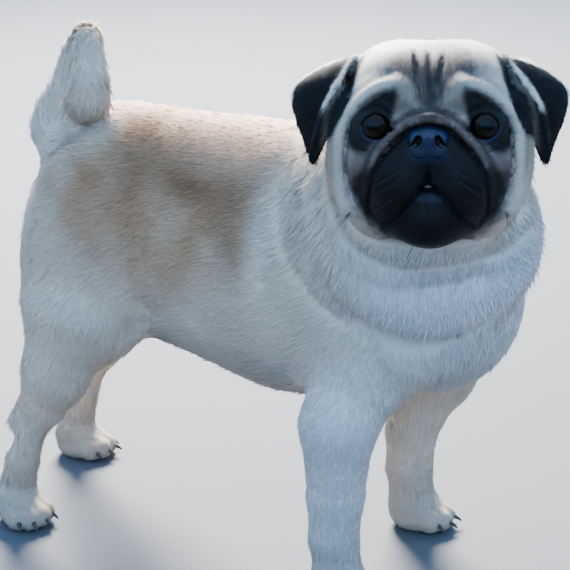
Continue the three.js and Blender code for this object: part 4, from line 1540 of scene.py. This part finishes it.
class PUG_OT_eyes(bpy.types.Operator):
    """Makes the eyeballs, each with a raised cornea over its iris"""

    bl_idname = "pug.eyes"
    bl_label = "Eyes"

    def execute(self, context):
        # A living cornea under its film of tears: very smooth, so it mirrors the lights as small
        # sharp glints, over a dark iris that darkens to its rim and round the pupil
        made, tree = material(
            "Wet cornea over a brown iris", {"Roughness": 0.04, "IOR": 1.376, "Specular IOR Level": 0.22}
        )
        gaze = node(tree, "ShaderNodeAttribute", {"attribute_name": "Gaze"})
        ramp = node(tree, "ShaderNodeValToRGB", inputs={"Fac": gaze.outputs["Fac"]})
        iris = np.array(context.scene.pug_face.iris)
        # Shares of a quarter turn from the middle of the gaze, and the colour there
        stops = [(0.0, (0.001, 0.001, 0.002)), (0.2, (0.001, 0.001, 0.002)), (0.25, iris * 0.5), (0.38, iris)]
        stops += [(0.45, iris * 0.4), (0.5, (0.002, 0.002, 0.003)), (1.0, (0.01, 0.008, 0.007))]
        ramp.color_ramp.elements[0].position = stops[0][0]
        ramp.color_ramp.elements[0].color = (*stops[0][1], 1)
        ramp.color_ramp.elements.remove(ramp.color_ramp.elements[1])
        for place, colour in stops[1:]:
            ramp.color_ramp.elements.new(place).color = (*colour, 1)
        finish_surface(tree, {"Base Color": ramp.outputs["Color"]})
        around, rings = 72, 48
        theta = np.pi * (np.arange(rings - 1) + 1) / rings
        phi = 2 * np.pi * np.arange(around) / around
        grid_t, grid_p = np.meshgrid(theta, phi, indexing="ij")
        angle = np.concatenate([[0], grid_t.ravel(), [np.pi]])
        turn = np.concatenate([[0], grid_p.ravel(), [0]])
        radius = EYE_RADIUS + CORNEA_HEIGHT * np.exp(-((angle / CORNEA_HALF_ANGLE) ** 2))
        local = np.column_stack([np.cos(angle), np.sin(angle) * np.cos(turn), np.sin(angle) * np.sin(turn)])
        local *= radius[:, None]
        faces = [(0, 1 + i, 1 + (i + 1) % around) for i in range(around)]
        last = 1 + (rings - 2) * around
        for ring in range(rings - 2):
            first = 1 + ring * around
            for i in range(around):
                a, b = first + i, first + (i + 1) % around
                faces += [(a, a + around, b + around), (a, b + around, b)]
        faces += [(len(local) - 1, last + (i + 1) % around, last + i) for i in range(around)]
        for side, s in NAMED_SIDES:
            look = turned(s * EYE_TURN, EYE_LIFT)
            points = from_head(local @ look.T + eye_centre(s))
            eye = make_mesh(f"eyeball_{side}", in_frame(points), faces, made)
            store(eye.data, "Gaze", "FLOAT", angle / (np.pi / 2))
            ride_root(eye, "eye", f"eye_{side}")
        return {"FINISHED"}


# A nostril's comma, across and up from the nose's middle
NOSTRIL = ((5.6, -0.4), (6.2, -2.2), (7.8, -4.0), (10.2, -4.9))
nose_mass = fuse(
    5,
    blob((NOSE_X, NOSE_Y, NOSE_Z + 0.3), (9, 8.6, 7.2)),
    *both(lambda s: blob((NOSE_X - 1, NOSE_Y + s * 7.2, NOSE_Z - 1.2), (8, 5.0, 5.8))),
    *both(lambda s: blob(on_face([(NOSE_Y + s * 5.5, NOSE_Z - 8.5)], -5.6)[0], (6.6, 6.0, 4.6))),
)
nostrils = both(
    lambda s: cord(
        [(NOSE_X + 8.5 - 0.03 * y * y, NOSE_Y + s * y, NOSE_Z + z) for y, z in NOSTRIL],
        (1.7, 1.9, 1.4, 0.6),
        0.4,
    )
)
nostril_wells = both(
    lambda s: cord(
        ((NOSE_X + 8, NOSE_Y + s * 6.1, NOSE_Z - 1.8), (NOSE_X + 1, NOSE_Y + s * 4.8, NOSE_Z - 0.6)),
        (1.8, 1.4),
        0.4,
    )
)
nose_groove = cord(
    (
        (NOSE_X + 9.4, NOSE_Y, NOSE_Z - 1),
        (NOSE_X + 7, NOSE_Y, NOSE_Z - 8),
        on_face([(NOSE_Y, NOSE_Z - 13)], 1)[0],
    ),
    (0.7, 0.9, 0.9),
    0.4,
)


def nose_field(p):
    """The nose's field: its pad and wings, less the nostrils and the groove."""
    p = p.astype(np.float32)
    return hollow(1.0, nose_mass(p), p, *nostrils, *nostril_wells, nose_groove)


class PUG_OT_nose(bpy.types.Operator):
    """Makes the nose leather with its comma-shaped nostrils"""

    bl_idname = "pug.nose"
    bl_label = "Nose"

    def execute(self, context):
        points, faces = net(nose_field, (NOSE_X - 16, -22, -16), (NOSE_X + 15, 20, 19), 0.55)
        points = settle(nose_field, points, 2)
        # Hairless pebbled skin: cobbles about a millimetre across, kept moist, so each one glints
        made, tree = material("Moist pebbled nose leather", {"Roughness": 0.38, "Specular IOR Level": 0.3})
        paint_markings_and_light(tree)
        coordinates = node(tree, "ShaderNodeTexCoord")
        pebbles = {"Vector": coordinates.outputs["Object"], "Scale": 950.0, "Smoothness": 0.6}
        cobbles = node(tree, "ShaderNodeTexVoronoi", {"feature": "SMOOTH_F1"}, pebbles)
        relief = {"Strength": 0.35, "Distance": 0.0003, "Height": cobbles.outputs["Distance"]}
        bump = node(tree, "ShaderNodeBump", {"invert": True}, relief)
        finish_surface(tree, {"Normal": bump.outputs["Normal"]})
        nose = make_mesh("nose_leather", in_frame(from_head(points)), faces, made)
        p = points.astype(np.float32)
        # Painted shade in the nostrils, and painted highlights on the septum and the wings
        hole = step(1.5, 0.1, np.min([hole(p) for hole in nostrils + nostril_wells], 0))
        aside, high = np.abs(points[:, 1] - NOSE_Y), points[:, 2] - NOSE_Z
        septum = step(4.2, 1.6, aside) * step(-9, -3, high) * step(5, 2, high)
        wing = step(1.2, 0.5, np.hypot((aside - 8.6) / 3.4, (high - 1.6) / 4))
        glints_and_shade = (0.8 + 0.7 * septum + 0.7 * wing) * (1 - 0.93 * hole)
        store(nose.data, "Markings_and_painted_light", "FLOAT_COLOR", glints_and_shade[:, None] * np.array(context.scene.pug_face.nose))
        ride_root(nose, "nose_leather", "nose")
        return {"FINISHED"}


class PUG_OT_teeth(bpy.types.Operator):
    """Makes the small front teeth that glint between the parted lips"""

    bl_idname = "pug.teeth"
    bl_label = "Teeth"

    def execute(self, context):
        # Enamel painted a dark grey, as painted shade for the shade of the lips it sits in, and dull, so it
        # only just shows as a pale line
        made, _ = material("Tooth enamel", {"Base Color": solid("#4A4846"), "Roughness": 0.5})
        mouth = on_face([(MOUTH_Y, MOUTH_Z)])[0]

        def tooth(y, tall):
            return blob((mouth[0] - 3.4, mouth[1] + y, mouth[2] + 0.3), (1.2, 0.6, tall))

        field = fuse(0.3, *(tooth(y, tall) for y, tall in ((-1.5, 0.7), (-0.5, 1.0), (0.5, 1.0), (1.5, 0.7))))
        points, faces = net(lambda p: field(p.astype(np.float32)), mouth - (5, 5, 3), mouth + (2, 5, 4), 0.25)
        teeth = make_mesh("front_teeth", in_frame(from_head(points)), faces, made)
        ride_root(teeth, "tooth", "teeth")
        return {"FINISHED"}


def bristle_tree(name, made, sides):
    """A node tree that grows one tapered, bent bristle from each point along its Aim attribute."""
    tree = bpy.data.node_groups.new(name, "GeometryNodeTree")
    face = tree.interface
    face.new_socket("Geometry", in_out="INPUT", socket_type="NodeSocketGeometry")
    for label, value in (("Root radius", 0.002), ("Tip radius", 0.0003), ("Bend", 0.2)):
        socket = face.new_socket(label, in_out="INPUT", socket_type="NodeSocketFloat")
        socket.default_value = value
    face.new_socket("Geometry", in_out="OUTPUT", socket_type="NodeSocketGeometry")

    def add(kind, **inputs):
        """Adds a node; an underscore in an input's name stands for a space."""
        return node(tree, kind, inputs={key.replace("_", " "): value for key, value in inputs.items()})

    def kept(name, kind):
        """Values kept at the roots."""
        found = node(tree, "GeometryNodeInputNamedAttribute", {"data_type": kind}, {"Name": name})
        return found.outputs["Attribute"]

    def turned_to(axis, pivot, **inputs):
        """A rotation with one axis along a way."""
        turning = {"axis": axis, "pivot_axis": pivot}
        return node(tree, "FunctionNodeAlignRotationToVector", turning, inputs).outputs["Rotation"]

    given = add("NodeGroupInput").outputs
    middle = add("ShaderNodeCombineXYZ", X=given["Bend"], Z=0.55).outputs[0]
    ends = {"Start": (0, 0, 0), "End": (0, 0, 1)}
    arch = add("GeometryNodeCurveQuadraticBezier", Resolution=7, Middle=middle, **ends).outputs["Curve"]
    place = add("GeometryNodeSplineParameter").outputs["Factor"]
    radii = {"To_Min": given["Root radius"], "To_Max": given["Tip radius"]}
    radius = add("ShaderNodeMapRange", Value=place, **radii).outputs["Result"]
    ring = add("GeometryNodeCurvePrimitiveCircle", Resolution=sides, Radius=1.0).outputs["Curve"]
    thin = add("GeometryNodeSetCurveRadius", Curve=arch, Radius=radius).outputs["Curve"]
    tube = add("GeometryNodeCurveToMesh", Curve=thin, Profile_Curve=ring, Fill_Caps=True)
    if "Scale" in tube.inputs:
        feed(tree, tube, {"Scale": radius})
    aimed = turned_to("Z", "AUTO", Vector=kept("Aim", "FLOAT_VECTOR"))
    drooping = turned_to("X", "Z", Rotation=aimed, Vector=kept("Droop", "FLOAT_VECTOR"))
    reach = kept("Reach", "FLOAT")
    size = add("ShaderNodeCombineXYZ", X=reach, Y=reach, Z=reach).outputs[0]
    dots = add("GeometryNodeMeshToPoints", Mesh=given["Geometry"]).outputs["Points"]
    turns = {"Rotation": drooping, "Scale": size}
    many = add("GeometryNodeInstanceOnPoints", Points=dots, Instance=tube.outputs["Mesh"], **turns)
    real = add("GeometryNodeRealizeInstances", Geometry=many.outputs["Instances"]).outputs["Geometry"]
    smooth = add("GeometryNodeSetShadeSmooth", Geometry=real).outputs["Geometry"]
    finish = add("GeometryNodeSetMaterial", Geometry=smooth, Material=made).outputs["Geometry"]
    add("NodeGroupOutput", Geometry=finish)
    return tree


def grow_bristles(name, made, roots, aims, droops, reaches, radii, bend, sides):
    """One mesh of bristles, from roots in metres, by the node tree."""
    seeds = bpy.data.meshes.new(name + "_roots")
    seeds.from_pydata([tuple(p) for p in roots], [], [])
    store(seeds, "Aim", "FLOAT_VECTOR", unit(np.asarray(aims, float)))
    store(seeds, "Droop", "FLOAT_VECTOR", unit(np.asarray(droops, float)))
    store(seeds, "Reach", "FLOAT", np.asarray(reaches, float))
    holder = bpy.data.objects.new(name + "_roots", seeds)
    bpy.context.scene.collection.objects.link(holder)
    modifier = holder.modifiers.new(name, "NODES")
    tree = bristle_tree(name, made, sides)
    modifier.node_group = tree
    sizes = {"Root radius": radii[0], "Tip radius": radii[1], "Bend": bend}
    for item in tree.interface.items_tree:
        if item.item_type == "SOCKET" and item.in_out == "INPUT" and item.name in sizes:
            modifier[item.identifier] = sizes[item.name]
    bpy.context.view_layer.update()
    graph = bpy.context.evaluated_depsgraph_get()
    mesh = bpy.data.meshes.new_from_object(holder.evaluated_get(graph), depsgraph=graph)
    mesh.name = name
    holder.modifiers.remove(modifier)
    bpy.data.objects.remove(holder)
    piece = bpy.data.objects.new(name, mesh)
    bpy.context.scene.collection.objects.link(piece)
    if not mesh.polygons:
        raise RuntimeError(f"{name} came out empty")
    return piece


# A claw's dip, how far ahead of the toe's end it roots, in millimetres, and its length, in metres
CLAW_DIP, CLAW_ROOT, CLAW_LENGTH = -0.42, 5.4, 0.0085


class PUG_OT_claws(bpy.types.Operator):
    """Grows a curved, dark claw from the tip of each toe"""

    bl_idname = "pug.claws"
    bl_label = "Claws"

    def execute(self, context):
        # Horn grown in layers and polished on the ground, so it has a soft satin shine
        made, _ = material("Dark claw horn", {"Base Color": solid("#2B2522"), "Roughness": 0.35})
        roots, aims, droops, nodes = [], [], [], []
        for side, s in NAMED_SIDES:
            for end, x, y in (("fore", FORE_X, s * FORE_TRACK), ("hind", hind_x(s) + 2, s * HIND_TRACK)):
                for k, degrees in enumerate(TOE_ANGLES):
                    angle = math.radians(degrees + turn_out(end, s))
                    out = np.array((math.cos(angle), math.sin(angle), CLAW_DIP))
                    tip = toe_tip(end, s, x, y, degrees)
                    roots.append(in_frame(tip + (CLAW_ROOT * out[0], CLAW_ROOT * out[1], -0.2)))
                    aims.append(out)
                    droops.append((0.3 * out[0], 0.3 * out[1], 1))
                    nodes.append(f"claw_{end}_{side}_{k + 1}")
        lengths = [CLAW_LENGTH] * len(roots)
        claws = grow_bristles("claws", made, roots, aims, droops, lengths, (0.27, 0.05), 0.22, 10)
        ride_root(claws, "claw_horn", *nodes)
        return {"FINISHED"}


# Rows of whiskers on the face's left half: the path they root along, how many, their way and their
# share of the longest; the lip has three rows, then the cheek and the brow
WHISKER_ROWS = (
    (((14, -14), (22, -18), (28, -25)), 5, (0.55, 0.8, -0.35), 0.55),
    (((13, -19), (21, -24), (27, -32)), 5, (0.5, 0.8, -0.45), 0.6),
    (((14, -26), (21, -31), (26, -39)), 4, (0.45, 0.75, -0.55), 0.55),
    (((43.5, -37), (45.5, -39)), 4, (0.3, 0.4, -0.95), 1.0),
    (((22, 34.5), (28, 34)), 3, (0.7, 0.3, 0.75), 0.5),
)
CHIN_WHISKERS = (((-9, -58), (-3, -60)), 2, (0.3, -0.5, -0.9), 0.8)
WHISKER_DEPTH = 1.4


class PUG_OT_whiskers(bpy.types.Operator):
    """Grows the black whiskers of the lips, cheeks and brows"""

    bl_idname = "pug.whiskers"
    bl_label = "Whiskers"

    def execute(self, context):
        longest = context.scene.pug_face.whisker_length
        # Stiff single hairs, thick at the root and drawn out to nothing, a little glossier than the coat
        made, _ = material("Black whisker hair", {"Base Color": solid("#141214"), "Roughness": 0.4})
        rng = np.random.default_rng(21)
        roots, aims, reaches = [], [], []

        def row(path, count, aim, length):
            """Whiskers along a path on the face, near to one way but none alike."""
            fine, _ = even_path(np.column_stack([np.zeros(len(path)), path]), 0.5)
            for place in np.linspace(0, len(fine) - 1, count).astype(int):
                spot = fine[place, 1:] + rng.normal(0, 0.5, 2)
                roots.append(in_frame(from_head(on_face([spot], -WHISKER_DEPTH)[0])))
                way = np.array(aim) + rng.normal(0, 0.16, 3)
                aims.append(HEAD_AXES @ unit(way))
                reaches.append(longest * length * rng.uniform(0.6, 1.1))

        for s in SIDES:
            for path, count, (ahead, aside, up), length in WHISKER_ROWS:
                row([(s * y, z) for y, z in path], count, (ahead, s * aside, up), length)
        row(*CHIN_WHISKERS)
        droops = [np.cross(aim, (0.2, 0.1, 1)) for aim in aims]
        whiskers = grow_bristles("whiskers", made, roots, aims, droops, reaches, (0.014, 0.003), 0.12, 5)
        ride_root(whiskers, "coat")
        return {"FINISHED"}


FLOOR_REACH, FLOOR_HEIGHT = 12.0, -0.0002
# The camera as fitted to the photograph: the place it looks at, its focal length and the frame's width
LOOKED_AT = (30, 0, 187)
FOCAL_PIXELS, PHOTO_PIXELS, SENSOR = 1725, 570, 36
SKY_STRENGTH = 2.7


class PUG_OT_stage(bpy.types.Operator):
    """Sets the pale floor, the soft lights and the camera"""

    bl_idname = "pug.stage"
    bl_label = "Stage"

    def execute(self, context):
        settings = context.scene.pug_stage
        scene = context.scene
        # Rolled on in one coat and left matt, so it shows no lamp and takes a soft shadow
        made, _ = material("Pale matt floor paint", {"Base Color": solid("#484B50"), "Roughness": 0.8})
        corners = [
            (x * FLOOR_REACH, y * FLOOR_REACH, FLOOR_HEIGHT) for x, y in ((-1, -1), (1, -1), (1, 1), (-1, 1))
        ]
        floor = make_mesh("floor", corners, [(0, 1, 2, 3)], made)
        target = Vector(in_frame(LOOKED_AT))
        a, e = settings.azimuth, settings.elevation
        back = Vector((math.sin(a) * math.cos(e), -math.cos(a) * math.cos(e), math.sin(e)))
        right = Vector((math.cos(a), math.sin(a), 0))
        up = back.cross(right)
        camera_data = bpy.data.cameras.new("camera")
        camera_data.sensor_width = SENSOR
        camera_data.lens = FOCAL_PIXELS / PHOTO_PIXELS * SENSOR
        camera_data.clip_start, camera_data.clip_end = 0.05, 60
        camera = bpy.data.objects.new("camera", camera_data)
        turn = Matrix((right, up, back)).transposed()
        camera.matrix_world = Matrix.Translation(target + back * settings.distance) @ turn.to_4x4()
        scene.collection.objects.link(camera)
        scene.camera = camera

        def lamp(name, place, size, power, colour):
            """A soft oval lamp that faces the dog."""
            data = bpy.data.lights.new(name, "AREA")
            data.shape = "ELLIPSE"
            data.size, data.size_y = size
            data.energy = power
            data.color = colour
            light = bpy.data.objects.new(name, data)
            light.location = place
            light.rotation_mode = "QUATERNION"
            light.rotation_quaternion = (target - place).to_track_quat("-Z", "Y")
            scene.collection.objects.link(light)

        # Both lamps stand a little to the left of the view: one behind the dog, one over the camera
        behind = target - right * 0.2 - back * 2.24 + Vector((0, 0, 2.32))
        lamp("key", behind, (1.25, 1.25), settings.key_power, (1.0, 0.95, 0.88))
        ahead = target + back * 2.0 - right * 0.2 + Vector((0, 0, 1.0))
        lamp("fill", ahead, (4.4, 2.4), settings.fill_power, (0.32, 0.6, 1.0))
        world = bpy.data.worlds.new("studio")
        world.use_nodes = True
        sky = world.node_tree
        way = node(sky, "ShaderNodeTexCoord")
        parts = node(sky, "ShaderNodeSeparateXYZ", inputs={"Vector": way.outputs["Generated"]})
        dome = node(sky, "ShaderNodeValToRGB", inputs={"Fac": parts.outputs["Z"]})
        low, high = dome.color_ramp.elements
        low.color, high.color, high.position = (0.1, 0.16, 0.26, 1), (0.3, 0.56, 1.0, 1), 0.25
        feed(sky, sky.nodes["Background"], {"Strength": SKY_STRENGTH, "Color": dome.outputs["Color"]})
        scene.world = world
        return {"FINISHED"}


class PUG_PT_panel(bpy.types.Panel):
    """Lists the pug's pieces and their settings"""

    bl_idname = "PUG_PT_panel"
    bl_label = "Pug"
    bl_space_type = "VIEW_3D"
    bl_region_type = "UI"
    bl_category = "Pug"

    def draw(self, context):
        scene = context.scene
        for settings, operators in (
            (scene.pug_skin, ("pug.skin",)),
            (scene.pug_coat, ("pug.coat",)),
            (scene.pug_face, ("pug.eyes", "pug.nose", "pug.teeth", "pug.whiskers", "pug.claws")),
            (scene.pug_stage, ("pug.stage",)),
        ):
            box = self.layout.box()
            for name in settings.bl_rna.properties.keys():
                if name not in ("rna_type", "name"):
                    box.prop(settings, name)
            for operator in operators:
                box.operator(operator)


SETTINGS = {
    "pug_skin": SkinSettings, "pug_coat": CoatSettings, "pug_face": FaceSettings, "pug_stage": StageSettings,
}
CLASSES = (
    *SETTINGS.values(),
    PUG_OT_skin,
    PUG_OT_coat,
    PUG_OT_eyes,
    PUG_OT_nose,
    PUG_OT_teeth,
    PUG_OT_claws,
    PUG_OT_whiskers,
    PUG_OT_stage,
    PUG_PT_panel,
)


def register():
    for made in CLASSES:
        bpy.utils.register_class(made)
    for name, settings in SETTINGS.items():
        setattr(bpy.types.Scene, name, bpy.props.PointerProperty(type=settings))


def unregister():
    for name in SETTINGS:
        delattr(bpy.types.Scene, name)
    for made in reversed(CLASSES):
        bpy.utils.unregister_class(made)


def main():
    register()
    for build in (
        bpy.ops.pug.skin,
        bpy.ops.pug.coat,
        bpy.ops.pug.eyes,
        bpy.ops.pug.nose,
        bpy.ops.pug.teeth,
        bpy.ops.pug.claws,
        bpy.ops.pug.whiskers,
        bpy.ops.pug.stage,
    ):
        build()


if __name__ == "__main__":
    main()
